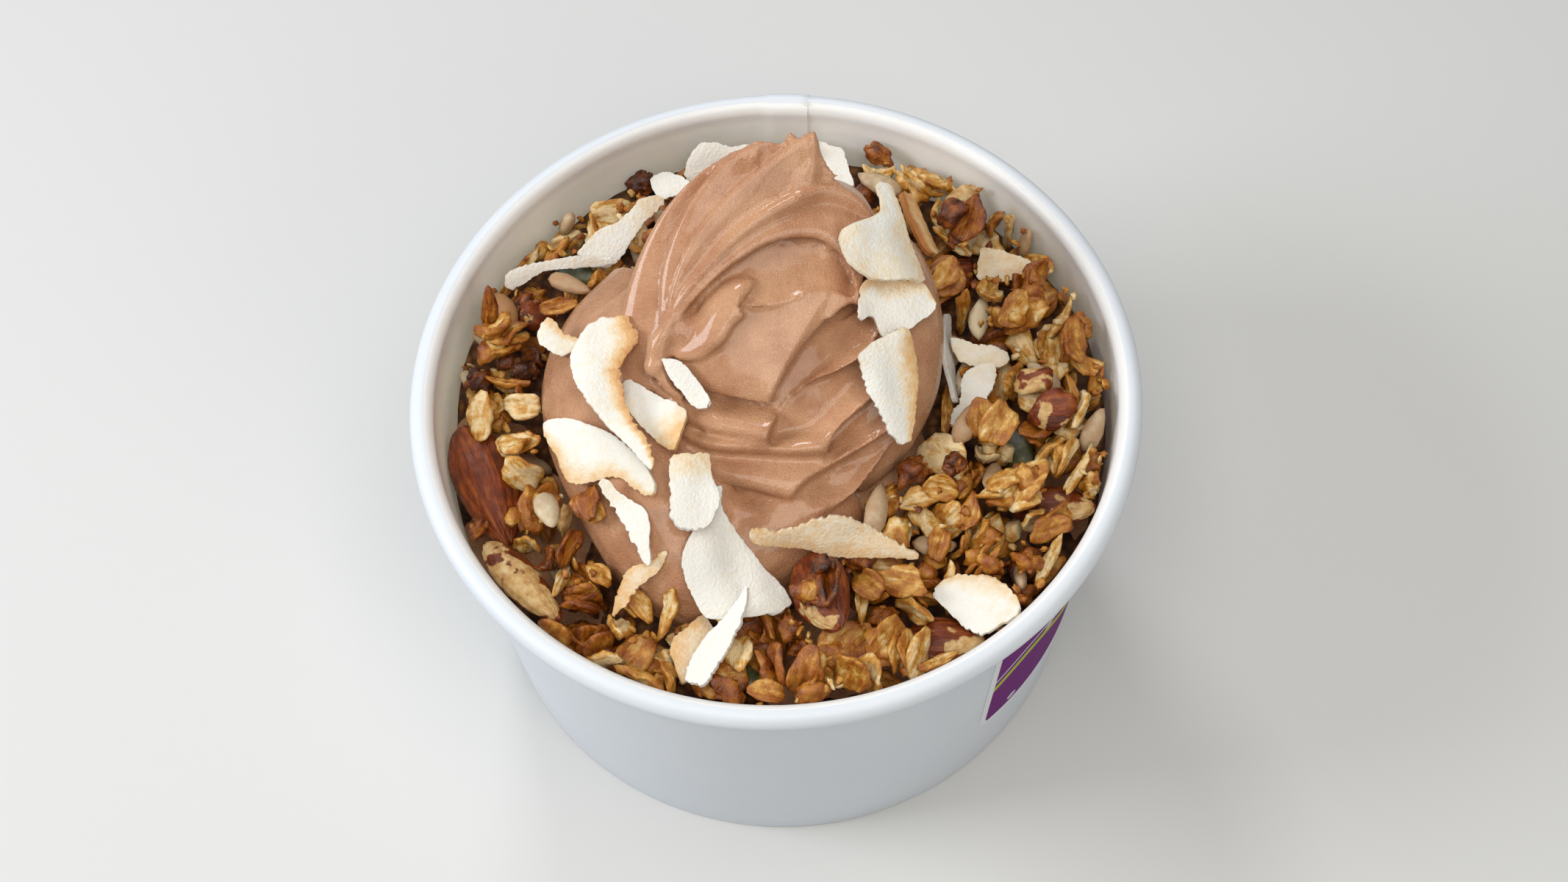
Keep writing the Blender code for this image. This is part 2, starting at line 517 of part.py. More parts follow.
# Each coconut chip: middle (x, y); heading, pitch, roll of its length in degrees; length; how far it
# reaches to the left and to the right of its length, at seven places along it; and its curl, in degrees.
CHIPS = [
    # lying on the heap behind the peak
    ((-5, 47.5), (0, 0, 45), 16, (0.5, 3.8, 3.9, 3.1, 3.2, 3.2, 2.9),
     (3.7, 3.9, 3.8, 3.7, 2.7, 1.7, 0.8), 8),
    ((12.3, 46.5), (-60, -5, 10), 10.5, (0.4, 1, 2.3, 1.8, 1.2, 0.7, 0.2),
     (0.9, 1.2, 1.5, 1.8, 2.1, 2.3, 1.3), 8),
    ((-15.6, 44.3), (-20, 0, 15), 7, (1, 1.9, 2.4, 2.3, 2.2, 1.8, 1.2),
     (0.5, 1.6, 2.2, 2.1, 1.6, 1, 0.4), 8),
    # back left
    ((-23.6, 34.4), (38, 8, 30), 17, (2.6, 3.1, 3.2, 2.4, 2.4, 2.8, 1.4),
     (0.2, 2.4, 2.4, 1.4, 0.6, 0.3, 0.1), 12),
    # left flank
    ((-27.1, -13.7), (-30, 8, 24), 21.5, (3.2, 4.5, 4.7, 4.6, 3.6, 2.1, -0.4),
     (-1.2, 1.4, 4.5, 3.4, 1.2, 2, 2.2), 10),
    ((-18.8, -8.1), (-50, 5, 18), 14.3, (0.8, 1.3, 1.7, 2.3, 2.9, 2.4, -1.8),
     (0.7, 2.3, 2.9, 3.1, 3.3, 3.3, 3), 8),
    ((-24.1, -6.2), (-75, -4, 0), 26.5, (4.6, 5.6, 1.6, 0.6, 0.6, 1.6, 1.6),
     (1, 5, 5.8, 4.9, 3.3, 1.2, -0.6), -8),
    ((-13.5, -5.2), (-45, -15, 20), 10, (0.6, 1.6, 1.8, 1.6, 1.3, 1, 0.5),
     (0.2, 0.8, 1.2, 1.5, 1.7, 1.8, 1.2), 10),
    ((-22.5, -32.2), (-125, -35, -15), 12.5, (2.1, 2, 1.3, 0.5, 0, -0.5, -1),
     (-0.9, -0.4, 1.9, 2.4, 2.3, 2.1, 1.6), -8),
    ((-22.9, -24.3), (-60, -14, 22), 15, (-0.2, 0.2, 1.1, 2.2, 1.5, 0, -1.2),
     (1.8, 1.7, 1.6, 1.6, 1.8, 2, 2), 10),
    ((-32.7, 7.4), (-35, 0, 20), 8, (2.2, 2.1, 1.7, 1.4, 1.3, 1.4, 1.2),
     (1.3, 2.1, 2.3, 2.4, 2.1, 0.6, -0.6), 16),
    # front
    ((-14.8, -40.9), (-120, -6, -10), 10.6, (0.8, 2.7, 2.5, 2.3, 2.3, 2.5, 2.7),
     (0.7, 1.2, 1.8, 2.5, 2.1, 0.4, -1.4), 10),
    ((-8.4, -29.7), (-65, -25, -8), 21.5, (4.4, 3, 3.4, 4.2, 4.9, 6.2, 6.4),
     (-2.2, 1, 5.6, 6.8, 6.8, 5.8, -3.4), 12),
    ((-13.3, -21.8), (-85, -12, -10), 11.8, (3.3, 3.2, 3.3, 3.9, 3.7, 2.7, 1.5),
     (2.8, 3, 3.2, 3.4, 3.6, 3.7, 2.6), 10),
    ((-9.8, -41.5), (-118, -14, 20), 16.5, (1.7, 2.5, 2.8, 2.7, 2.6, 2.2, 2),
     (-1.2, -0.7, 0.3, 1.3, 2.1, 2.5, 2.1), 10),
    ((7.9, -28.5), (-5, -12, 55), 26, (-0.2, 0, 1.9, 3.7, 2.3, 0.6, -0.9),
     (2.5, 2.7, 2.7, 3.5, 3, 2.2, 1.8), 8),
    ((28.7, -37.3), (-25, 10, 4), 13.6, (1.2, 3.5, 4.1, 4.9, 4.4, 3.2, 1.6),
     (1.1, 1.9, 3.2, 4.2, 4.4, 2.6, 0.2), 10),
    # right side
    ((19.3, 4.7), (0, -14, 18), 11.8, (3.8, 4.6, 4.7, 4.5, 4.7, 4.6, 2),
     (2.6, 1.4, 4.4, 3.8, 2.9, 1.4, 0.2), 10),
    ((17.8, 14.2), (-80, -8, -30), 16.8, (4.4, 4.9, 5.1, 5.6, 6.2, 6.8, 6.8),
     (-1.9, -2, -0.6, 6.2, 6.8, 6.1, 3), -6),
    ((18.2, -8), (-84, -26, -18), 17.6, (3.7, 4.2, 4.3, 4.1, 3.3, 2.4, 1.3),
     (-1.8, 4.3, 4.6, 4.2, 3.1, 2.1, 0.7), 10),
    ((24.8, 31.4), (-64, -8, -40), 13, (3, 3.1, 2.6, 1.9, 1.2, 0.4, 0),
     (-0.3, 0.6, 1.4, 2, 2.5, 2.9, 3), 12),
    ((28.1, 7.5), (-90, 4, -68), 18, (1.4, 1.8, 2.2, 2.2, 2.1, 1.5, 0.4),
     (0.2, 0.8, 1.4, 1.4, 1.4, 1.7, 1.6), 8),
    ((32.9, 7.4), (-12, 2, 14), 9.8, (2, 2.1, 1.7, 1.6, 1.5, 1.2, 0.4),
     (-1, 1.2, 2, 2.3, 2.3, 2.1, 1.3), 12),
    ((31.2, -0.7), (-112, -2, 6), 12.9, (1.9, 2.4, 2.7, 2.1, 1.6, 0.9, -0.2),
     (-0.6, 1.8, 2.6, 1.9, 1.7, 2.2, 1.8), 10),
    ((38.6, 25), (-6, 0, 12), 8.8, (2.9, 2.8, 2.6, 2.3, 1.9, 1.4, 1.1),
     (2.8, 2.9, 2.9, 2.6, 2.4, 2.3, 2.2), 6),
    # against the wall at the back left
    ((-33.9, 27.6), (12, 4, 50), 18.5, (1.5, 2, 1.8, 1.5, 1.2, 0, -1),
     (1.2, 0.6, -0.3, 0.1, 0.7, 1.3, 1.6), 10),
]

# Each almond: middle (x, y), (heading, pitch, roll), (length, width, thickness).
ALMONDS = [
    ((-46.2, -9.2), (-72, 4, -8), (23.5, 10.8, 8.2)),
    ((-40.1, -28.5), (-52, 2, -32), (18.0, 7.4, 5.4)),
    ((5.4, -34.8), (-72, 14, 30), (15.0, 10.4, 6.4)),
    ((23.4, -41.8), (-4, 6, -16), (12.4, 8.8, 6.0)),
    ((42.4, -20.0), (-12, 20, -12), (13.0, 8.6, 6.0)),
]

# Each pumpkin seed: middle, (heading, pitch, roll), (length, width, thickness).
PUMPKIN_SEEDS = [
    ((37.4, -9.2), (-74, 8, 20), (9.5, 5.6, 2.3)),
    ((-7.2, -45.8), (-34, 6, -20), (8.6, 4.6, 2.3)),
    ((-31.6, 28.3), (-20, 4, 16), (7.0, 4.2, 2.2)),
]

# Each baked cluster of oats: middle, heading, (length, width, height).
CLUSTERS = [
    ((-4.0, -40.8), -66, (12.0, 8.6, 6.6)),
    ((8.4, -43.2), 18, (17.5, 9.6, 7.2)),
    ((-29.8, -37.6), -38, (16.0, 8.6, 6.0)),
    ((24.6, 41.6), -68, (10.5, 7.0, 11.0)),
    ((44.2, -9.4), -16, (12.5, 8.0, 6.0)),
    ((32.4, -24.0), 26, (11.0, 8.6, 6.2)),
    ((-46.0, 5.2), -44, (12.5, 7.0, 6.0)),
    ((-37.4, -12.9), -82, (14.0, 4.6, 5.0)),
]


def turn(heading, pitch, roll):
    """Length along the heading, raised by pitch, then rolled about the length."""
    return Euler((math.radians(roll), math.radians(-pitch), math.radians(heading)), "XYZ").to_matrix()


def along_chip(u, length, bend):
    """A point on the middle line of a curled chip: an arc whose ends curl up, or down if bend is negative."""
    half = math.radians(bend) * u / 2
    return Vector((math.cos(half), 0, math.sin(half))) * u * length


def chip(name, row):
    """A shaving of coconut: a curled sheet with uneven sides, given thickness by Solidify."""
    _, angles, length, left, right, bend = row
    bm = bmesh.new()
    rows = []
    for u, wide_left, wide_right in zip(np.linspace(-0.5, 0.5, len(left)), left, right):
        middle = along_chip(u, length, bend)
        half = (wide_left + wide_right) / 2
        spots = [(half * v + (wide_left - wide_right) / 2, -CHIP_SAG * (half * v) ** 2) for v in (-1, 0, 1)]
        rows.append([bm.verts.new((middle + Vector((0, y, z))) * MM) for y, z in spots])
    for a, b in zip(rows, rows[1:]):
        for j in range(len(a) - 1):
            bm.faces.new((a[j], b[j], b[j + 1], a[j + 1]))
    centre = sum((v.co for v in bm.verts), Vector()) / len(bm.verts)
    bm.transform(turn(*angles).to_4x4() @ Matrix.Translation(-centre))
    ob = add_object(name, mesh_from(bm, name), "coconut")
    solid = ob.modifiers.new("thickness", "SOLIDIFY")
    solid.thickness = CHIP_THICKNESS * MM
    solid.offset = 0.0
    return ob


def pebble(name, angles, size, mat, seed, rough, segments=10, rings=6, taper=0.0):
    """An ellipsoid tapered towards one end and roughened by a seeded amount."""
    rnd = random.Random(seed)
    bm = bmesh.new()
    bmesh.ops.create_uvsphere(bm, u_segments=segments, v_segments=rings, radius=0.5)
    bm.transform(Matrix.Rotation(math.pi / 2, 4, "Y"))
    for v in bm.verts:
        x = v.co.x
        thin = 1 - taper * (x + 0.5) ** 2
        v.co.y *= thin
        v.co.z *= thin
        v.co *= 1 + rough * (rnd.random() - 0.5)
    bm.transform(turn(*angles).to_4x4() @ Matrix.Diagonal((size[0] * MM, size[1] * MM, size[2] * MM, 1)))
    return add_object(name, mesh_from(bm, name), mat)


# ---------------------------------------------------------------- settling

def samples(ob):
    """Points spread over the piece's surface: corners, edge points and face middles."""
    mesh = evaluated_mesh(ob)
    mesh.transform(ob.matrix_world)
    points = [v.co.copy() for v in mesh.vertices]
    out = list(points)
    for edge in mesh.edges:
        a, b = (points[i] for i in edge.vertices)
        out += [a.lerp(b, t) for t in (0.25, 0.5, 0.75)]
    for face in mesh.polygons:
        centre = sum((points[i] for i in face.vertices), Vector()) / len(face.vertices)
        out += [centre] + [centre.lerp(points[i], 0.5) for i in face.vertices]
    bpy.data.meshes.remove(mesh)
    return out


def settle(ob, x, y, obstacles, clearance):
    """Lower the piece straight down until it is a small gap above whatever lies under it."""
    start = 130.0
    ob.location = Vector((x, y, start)) * MM
    own, _ = tree_of(ob)
    points = samples(ob)
    low = Vector((min(p.x for p in points), min(p.y for p in points)))
    high = Vector((max(p.x for p in points), max(p.y for p in points)))
    drop = 1.0
    for tree, spots in obstacles:
        for p in points:
            hit = tree.ray_cast(p, Vector((0, 0, -1)))
            if hit[0]:
                drop = min(drop, hit[3])
        for q in spots:
            if low.x < q.x < high.x and low.y < q.y < high.y:
                hit = own.ray_cast(q, Vector((0, 0, 1)))
                if hit[0]:
                    drop = min(drop, hit[3])
    ob.location.z -= drop - clearance * MM
    obstacles.append((tree_of(ob)[0], samples(ob)))


def toppings(base):
    """Everything on top, laid in the order it was sprinkled."""
    obstacles = [(tree_of(ob)[0], samples(ob)) for ob in base]
    for i, ((x, y), heading, size) in enumerate(CLUSTERS, 1):
        ob = pebble(f"granola_cluster_{i:02d}", (heading, 0, 0), size, "granola", 40 + i, 0.3)
        settle(ob, x, y, obstacles, 0.4)
    for i, ((x, y), angles, size) in enumerate(ALMONDS, 1):
        ob = pebble(f"almond_{i:02d}", angles, size, "almond", 20 + i, 0.06, taper=0.35)
        settle(ob, x, y, obstacles, 0.4)
    for i, ((x, y), angles, size) in enumerate(PUMPKIN_SEEDS, 1):
        ob = pebble(f"pumpkin_seed_{i:02d}", angles, size, "pumpkin_seed", 60 + i, 0.04, 8, 6, 0.3)
        settle(ob, x, y, obstacles, 0.4)
    for i, row in enumerate(CHIPS, 1):
        ob = chip(f"coconut_chip_{i:02d}", row)
        settle(ob, *row[0], obstacles, 0.45)


def shade():
    """Make every piece a plain mesh, smooth where it is round and sharp at its edges."""
    for ob in COLLECTION.objects:
        ob.data = evaluated_mesh(ob)
        ob.modifiers.clear()
        ob.data.shade_smooth()
        ob.data.set_sharp_from_angle(angle=math.radians(SHARP_ANGLE))


clear_scene()
COLLECTION = make_collection()
side = tub_side()
tub_floor()
label()
filling = yogurt()
granola = heap(filling)
toppings([side, filling, granola])
shade()
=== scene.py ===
"""Looks of a frozen yogurt cup: soft-serve, granola, coconut chips, almonds and seeds in a paper tub.

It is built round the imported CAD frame. Sizes are in millimetres and become metres as each mesh is made.
"""
import math
import random

import bmesh
import bpy
import numpy as np
from mathutils import Euler, Matrix, Vector, noise
from mathutils.bvhtree import BVHTree


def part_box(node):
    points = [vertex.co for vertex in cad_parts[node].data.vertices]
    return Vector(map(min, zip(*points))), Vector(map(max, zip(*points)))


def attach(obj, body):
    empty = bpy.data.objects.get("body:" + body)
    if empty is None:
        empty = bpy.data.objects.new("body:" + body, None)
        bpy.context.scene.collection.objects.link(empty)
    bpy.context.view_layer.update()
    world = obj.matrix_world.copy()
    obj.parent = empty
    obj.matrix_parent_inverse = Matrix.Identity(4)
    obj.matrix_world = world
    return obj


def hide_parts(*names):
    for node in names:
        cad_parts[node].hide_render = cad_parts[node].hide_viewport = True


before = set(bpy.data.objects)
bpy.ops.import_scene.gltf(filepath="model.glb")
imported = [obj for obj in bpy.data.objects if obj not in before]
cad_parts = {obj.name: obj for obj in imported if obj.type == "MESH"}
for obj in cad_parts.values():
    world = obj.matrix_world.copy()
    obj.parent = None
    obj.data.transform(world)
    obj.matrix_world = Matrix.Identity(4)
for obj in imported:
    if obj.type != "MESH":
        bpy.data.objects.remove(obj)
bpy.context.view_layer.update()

MM = 0.001

# The tub
TUB_HEIGHT = 63.0
BASE_RADIUS = 49.0
RIM_RADIUS = 57.5
BEAD_RADIUS = 1.9
PAPER = 0.55
FOOT_HEIGHT = 7.3
FOOT_WIDTH = 1.4
FLOOR_TOP = 7.0
FLOOR_THICKNESS = 0.6
BEAD_CENTRE = (RIM_RADIUS - BEAD_RADIUS, TUB_HEIGHT - BEAD_RADIUS)
WALL_TOP_RADIUS = RIM_RADIUS - 2 * BEAD_RADIUS + PAPER
TUB_STEPS = 360
SEAM_ANGLE = 81.5               # bearing of the glued side seam, in degrees
SEAM_WIDTH = 8.0                # degrees of overlap
SEAM_STEP = 0.25
SEAM_FADE = 1.5                 # degrees over which the flap thins out

# The sticker
LABEL_FROM = -53.5
LABEL_TO = 12.0
LABEL_BOTTOM = 18.0
LABEL_TOP = 55.0
LABEL_CORNER = 3.0
LABEL_GAP = 0.02
LABEL_THICKNESS = 0.15
LABEL_CELLS = (160, 80)         # along and up the sheet

# Fillings
FILL_LEVEL = 46.0
FILL_BOTTOM = FOOT_HEIGHT + 0.35
HEAP_MEAN = 53.4
DENT = 3.6
CORE_DROP = 3.2                 # the granola core lies this far under the heap's outline
CORE_START = 12                 # radius at which the core starts, inside the swirl
CORE_SPOKES = 200
CORE_RINGS = 44
SWIRL_CENTRE = np.array([1.0, 6.0, 56.0])
SWIRL_VOXEL = 0.46
FOLD_STATIONS = 34              # points along a fold's lip
ROPE_SIDES = 20
CURVE_STEPS = 8                 # points between two that a rope or a ridge goes through
RING_STEPS = 3                  # the same round a ridge
CHIP_THICKNESS = 0.75
CHIP_SAG = 0.02                  # how far a chip's sides curl down, per mm from its middle squared
CHIP_CORNER = 0.9               # radius of a chip's corners
TOPPING_DROP = 0.3              # closes the gap that the CAD keeps under a topping
CLUSTER_DROP = 0.2
RAG = ((0.35, 0.6), (0.5, 1.6), (0.45, 4.2))    # depth and fineness of what makes a chip's edge ragged

# Height map that the loose granola is dropped on
CELL = 0.6
SPAN = 55.8


# ---- pieces and shaders

def linked(name, data):
    ob = bpy.data.objects.new(name, data)
    bpy.context.scene.collection.objects.link(ob)
    return ob


def add_piece(name, mesh, mat, slot, *nodes):
    """Adds a mesh as a piece of the food that rides on the one body and stands for the CAD nodes named."""
    ob = linked(name, mesh)
    mesh.materials.clear()
    mesh.materials.append(mat)
    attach(ob, "root")
    if nodes:
        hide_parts(*nodes)
    return ob


def mesh_from(bm, name):
    mesh = bpy.data.meshes.new(name)
    bm.to_mesh(mesh)
    bm.free()
    return mesh


def smooth(mesh, angle=180):
    mesh.shade_smooth()
    if angle < 180:
        mesh.set_sharp_from_angle(angle=math.radians(angle))
    return mesh


def evaluated_mesh(ob):
    bpy.context.view_layer.update()
    graph = bpy.context.evaluated_depsgraph_get()
    return bpy.data.meshes.new_from_object(ob.evaluated_get(graph))


def apply_modifiers(ob):
    ob.data = evaluated_mesh(ob)
    ob.modifiers.clear()


def thicken(ob, thickness, offset, angle):
    """Gives a sheet its thickness, with edges sharper than the angle left crisp."""
    solid = ob.modifiers.new("thickness", "SOLIDIFY")
    solid.thickness = thickness * MM
    solid.offset = offset
    apply_modifiers(ob)
    smooth(ob.data, angle)


def skin(bm, rows, around=False):
    """Faces between rows of points. Rows may close round on themselves."""
    for a, b in zip(rows, rows[1:]):
        for i in range(len(a) if around else len(a) - 1):
            j = (i + 1) % len(a)
            bm.faces.new((a[i], a[j], b[j], b[i]))


def paint(mesh, **values):
    """Stores a number per vertex under each name, for the materials to read."""
    for name, numbers in values.items():
        layer = mesh.attributes.new(name, "FLOAT", "POINT")
        layer.data.foreach_set("value", np.asarray(numbers, np.float32))


class Shader:
    """A Principled material, with short ways to build its nodes."""

    def __init__(self, name, roughness=0.5):
        self.mat = bpy.data.materials.new(name)
        self.mat.use_nodes = True
        self.tree = self.mat.node_tree
        self.main = self.tree.nodes["Principled BSDF"]
        self.feed("Roughness", roughness)

    def feed(self, socket, value):
        self.connect(self.main.inputs[socket], value)

    def glow(self, weight, depth, colour):
        """Light scattered under the surface, as deep as this many millimetres."""
        for socket, value in (("Weight", weight), ("Scale", depth * MM), ("Radius", colour)):
            self.feed("Subsurface " + socket, value)

    def connect(self, socket, value):
        if isinstance(value, bpy.types.NodeSocket):
            self.tree.links.new(value, socket)
        else:
            socket.default_value = value

    def node(self, kind, **settings):
        made = self.tree.nodes.new("ShaderNode" + kind)
        for key, value in settings.items():
            setattr(made, key, value)
        return made

    def place(self, stretch=(1, 1, 1)):
        """Object coordinates in millimetres, divided by a stretch."""
        scale = self.node("Mapping")
        self.connect(scale.inputs["Vector"], self.node("TexCoord").outputs["Object"])
        scale.inputs["Scale"].default_value = [1 / (MM * s) for s in stretch]
        return scale.outputs["Vector"]

    def noise(self, size, detail=3, roughness=0.5, stretch=(1, 1, 1), where=None):
        """Soft noise with features about this many millimetres across."""
        made = self.node("TexNoise")
        self.connect(made.inputs["Vector"], self.place(stretch) if where is None else where)
        for socket, number in (("Scale", 1 / size), ("Detail", detail), ("Roughness", roughness)):
            made.inputs[socket].default_value = number
        return made.outputs["Fac"]

    def cells(self, size, feature="F1"):
        made = self.node("TexVoronoi", feature=feature)
        self.connect(made.inputs["Vector"], self.place())
        made.inputs["Scale"].default_value = 1 / size
        return made.outputs["Distance"]

    def stored(self, name, output="Fac"):
        return self.node("Attribute", attribute_name=name).outputs[output]

    def sum(self, a, b, operation="ADD"):
        made = self.node("Math", operation=operation)
        self.connect(made.inputs[0], a)
        self.connect(made.inputs[1], b)
        return made.outputs[0]

    def times(self, a, b):
        return self.sum(a, b, "MULTIPLY")

    def span(self, value, low, high, to_low=0.0, to_high=1.0):
        made = self.node("MapRange", interpolation_type="SMOOTHSTEP")
        self.connect(made.inputs["Value"], value)
        for socket, number in zip(("From Min", "From Max", "To Min", "To Max"), (low, high, to_low, to_high)):
            made.inputs[socket].default_value = number
        return made.outputs["Result"]

    def ramp(self, value, *stops):
        """Colours blended along a value: each stop is (position, colour)."""
        made = self.node("ValToRGB")
        points = made.color_ramp.elements
        while len(points) < len(stops):
            points.new(0.5)
        for point, (where, colour) in zip(points, stops):
            point.position = where
            point.color = (*colour, 1)
        self.connect(made.inputs["Fac"], value)
        return made.outputs["Color"]

    def mix(self, amount, a, b):
        made = self.node("Mix", data_type="RGBA")
        self.connect(made.inputs[0], amount)
        self.connect(made.inputs[6], (*a, 1) if isinstance(a, tuple) else a)
        self.connect(made.inputs[7], (*b, 1) if isinstance(b, tuple) else b)
        return made.outputs[2]

    def bump(self, height, depth, under=None):
        """Relief of this many millimetres."""
        made = self.node("Bump")
        made.inputs["Distance"].default_value = depth * MM
        self.connect(made.inputs["Height"], height)
        if under:
            self.connect(made.inputs["Normal"], under)
        self.feed("Normal", made.outputs["Normal"])
        return made.outputs["Normal"]


# ---- materials

def paper_outside():
    s = Shader("paper_outside")
    fibre = s.noise(0.5, 4, 0.6)
    s.feed("Base Color", s.mix(s.noise(14, 2), (0.64, 0.68, 0.73), (0.70, 0.73, 0.77)))
    s.feed("Roughness", s.span(fibre, 0.3, 0.7, 0.42, 0.55))
    s.bump(fibre, 0.02)
    return s.mat


def paper_inside():
    s = Shader("paper_inside", 0.38)
    s.glow(0.6, 2.0, (1.0, 0.85, 0.6))
    fibre = s.noise(0.6, 4, 0.6)
    s.feed("Base Color", s.mix(s.noise(10, 2), (0.86, 0.83, 0.77), (0.90, 0.875, 0.83)))
    s.bump(fibre, 0.02)
    return s.mat


def sticker():
    """Purple with a lime ribbon, pale dots and a white edge; u and v run along and up the sheet, in mm."""
    s = Shader("sticker")
    s.feed("Specular IOR Level", 0.05)
    u = s.stored("label_u")
    v = s.stored("label_v")
    wave = s.times(s.sum(s.times(u, 0.16), 0.0, "SINE"), 5.0)
    ribbon = s.sum(s.sum(s.sum(v, s.sum(wave, 15.0), "SUBTRACT"), 0.0, "ABSOLUTE"), 1.1, "LESS_THAN")
    hem = s.sum(s.sum(s.sum(v, s.sum(wave, 18.2), "SUBTRACT"), 0.0, "ABSOLUTE"), 0.35, "LESS_THAN")
    dots = s.sum(s.cells(6.5), 0.16, "LESS_THAN")
    edge = s.sum(s.stored("label_edge"), 1.3, "LESS_THAN")
    colour = s.mix(s.noise(20, 2), (0.13, 0.001, 0.145), (0.16, 0.002, 0.175))
    colour = s.mix(dots, colour, (0.62, 0.58, 0.66))
    colour = s.mix(hem, colour, (0.70, 0.70, 0.70))
    colour = s.mix(ribbon, colour, (0.42, 0.47, 0.03))
    colour = s.mix(edge, colour, (0.76, 0.77, 0.79))
    s.feed("Base Color", colour)
    s.bump(s.noise(1.5, 2), 0.01)
    return s.mat


def soft_serve():
    s = Shader("soft_serve")
    s.glow(0.1, 1.5, (1.0, 0.45, 0.3))
    s.feed("Specular IOR Level", 0.55)
    s.feed("Coat Weight", 0.5)
    s.feed("Coat Roughness", 0.1)
    clouds = s.noise(7, 3, 0.6)
    colour = s.mix(s.span(clouds, 0.3, 0.7), (0.46, 0.205, 0.097), (0.60, 0.315, 0.165))
    s.feed("Base Color", colour)
    grain = s.noise(0.3, 3, 0.7)
    s.feed("Roughness", s.span(s.noise(0.5, 2, 0.6), 0.38, 0.62, 0.18, 0.45))
    ripple = s.bump(s.noise(2.2, 3, 0.6), 0.2)
    s.bump(grain, 0.3, ripple)
    return s.mat


def coconut():
    s = Shader("coconut", 0.6)
    s.glow(0.3, 1.5, (1.0, 0.8, 0.6))
    mottle = s.noise(1.6, 4, 0.65)
    heat = s.sum(s.stored("toast"), s.span(mottle, 0.2, 0.8, -0.12, 0.12))
    s.feed("Base Color", s.ramp(heat, (0.04, (0.79, 0.765, 0.70)), (0.22, (0.78, 0.68, 0.52)),
                                (0.48, (0.72, 0.46, 0.21)), (0.80, (0.46, 0.18, 0.045))))
    grain = s.bump(s.cells(0.45, "SMOOTH_F1"), 0.11)
    s.bump(s.noise(0.22, 2, 0.6), 0.08, grain)
    return s.mat


def oats():
    """Baked oats: pale to well toasted by piece, browner at the rims, with bran stripes and a sugar glaze."""
    s = Shader("oats")
    s.glow(0.12, 1.0, (1.0, 0.5, 0.15))
    stripes = s.noise(1.1, 4, where=s.stored("grain", "Vector"))
    patch = s.span(s.noise(2.6, 4, 0.6), 0.25, 0.75, -0.24, 0.24)
    shade = s.sum(patch, s.span(stripes, 0.3, 0.7, -0.12, 0.12))
    heat = s.sum(s.sum(s.stored("tone"), shade), s.times(s.stored("rim"), 0.14))
    s.feed("Base Color", s.ramp(heat, (0.0, (0.74, 0.56, 0.30)), (0.18, (0.58, 0.31, 0.060)),
                                (0.36, (0.41, 0.155, 0.014)), (0.56, (0.30, 0.085, 0.007)),
                                (0.78, (0.16, 0.034, 0.003)), (1.0, (0.05, 0.012, 0.003))))
    s.feed("Roughness", s.span(s.noise(1.0, 3, 0.6), 0.35, 0.65, 0.2, 0.52))
    lumps = s.bump(stripes, 0.3)
    crust = s.bump(s.noise(0.7, 4, 0.65), 0.2, lumps)
    s.bump(s.noise(0.25, 2, 0.6), 0.07, crust)
    return s.mat


def crumb_bed_painted_shade():
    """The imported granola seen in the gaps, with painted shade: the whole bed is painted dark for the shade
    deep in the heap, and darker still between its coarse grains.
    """
    s = Shader("crumb_bed_painted_shade", 0.7)
    grains = s.cells(1.7)
    shade = s.sum(grains, s.span(s.noise(3, 2), 0.2, 0.8, -0.25, 0.25))
    # Painted shade: the ramp runs from dark brown to near black where the grains meet, for the shade down in
    # the gaps
    s.feed("Base Color", s.ramp(shade, (0.0, (0.26, 0.11, 0.022)), (0.45, (0.12, 0.04, 0.008)),
                                (0.9, (0.03, 0.009, 0.003))))
    deep = s.bump(s.sum(1.0, grains, "SUBTRACT"), 0.7)
    s.bump(s.noise(0.5, 3, 0.6), 0.15, deep)
    return s.mat


def almond_skin(name, mask):
    """Wrinkled brown skin; where the stored mask is high the pale glazed kernel shows."""
    s = Shader(name)
    s.feed("Specular IOR Level", 0.35)
    fibres = s.noise(0.9, 4, 0.6, (5, 1, 1))
    skin = s.ramp(s.sum(s.times(fibres, 0.6), s.times(s.noise(3.5, 3), 0.4)), (0.34, (0.05, 0.008, 0.002)),
                  (0.5, (0.17, 0.030, 0.004)), (0.64, (0.30, 0.075, 0.012)), (0.8, (0.44, 0.20, 0.06)))
    kernel = s.ramp(s.noise(1.6, 4, 0.6), (0.3, (0.36, 0.17, 0.05)), (0.5, (0.55, 0.34, 0.13)),
                    (0.7, (0.66, 0.50, 0.27)))
    bare = s.span(s.sum(s.stored(mask), s.span(s.noise(4, 3, 0.5), 0.2, 0.8, -0.3, 0.3)), 0.47, 0.53)
    s.feed("Base Color", s.mix(bare, skin, kernel))
    s.feed("Roughness", s.span(s.noise(1.2, 3), 0.35, 0.65, 0.3, 0.55))
    grooves = s.bump(fibres, 0.28)
    s.bump(s.noise(0.3, 3, 0.6), 0.06, grooves)
    return s.mat


def pumpkin_skin():
    s = Shader("pumpkin_skin", 0.45)
    s.feed("Base Color", s.ramp(s.noise(1.5, 4, 0.6), (0.3, (0.022, 0.028, 0.012)),
                                (0.55, (0.055, 0.06, 0.022)), (0.75, (0.13, 0.12, 0.045))))
    s.bump(s.noise(0.6, 4, 0.6, (2.5, 1, 1)), 0.12)
    return s.mat


def seed_kernel():
    """Hulled sunflower seeds and nut pieces: dull beige with fine ridges."""
    s = Shader("seed_kernel", 0.55)
    s.glow(0.1, 1.0, (1.0, 0.2, 0.1))
    shade = s.sum(s.stored("tone"), s.span(s.noise(1.4, 4, 0.6), 0.2, 0.8, -0.15, 0.15))
    s.feed("Base Color", s.ramp(shade, (0.1, (0.60, 0.50, 0.33)), (0.4, (0.42, 0.29, 0.17)),
                                (0.75, (0.36, 0.17, 0.06))))
    s.bump(s.noise(0.5, 3, 0.6), 0.07)
    return s.mat


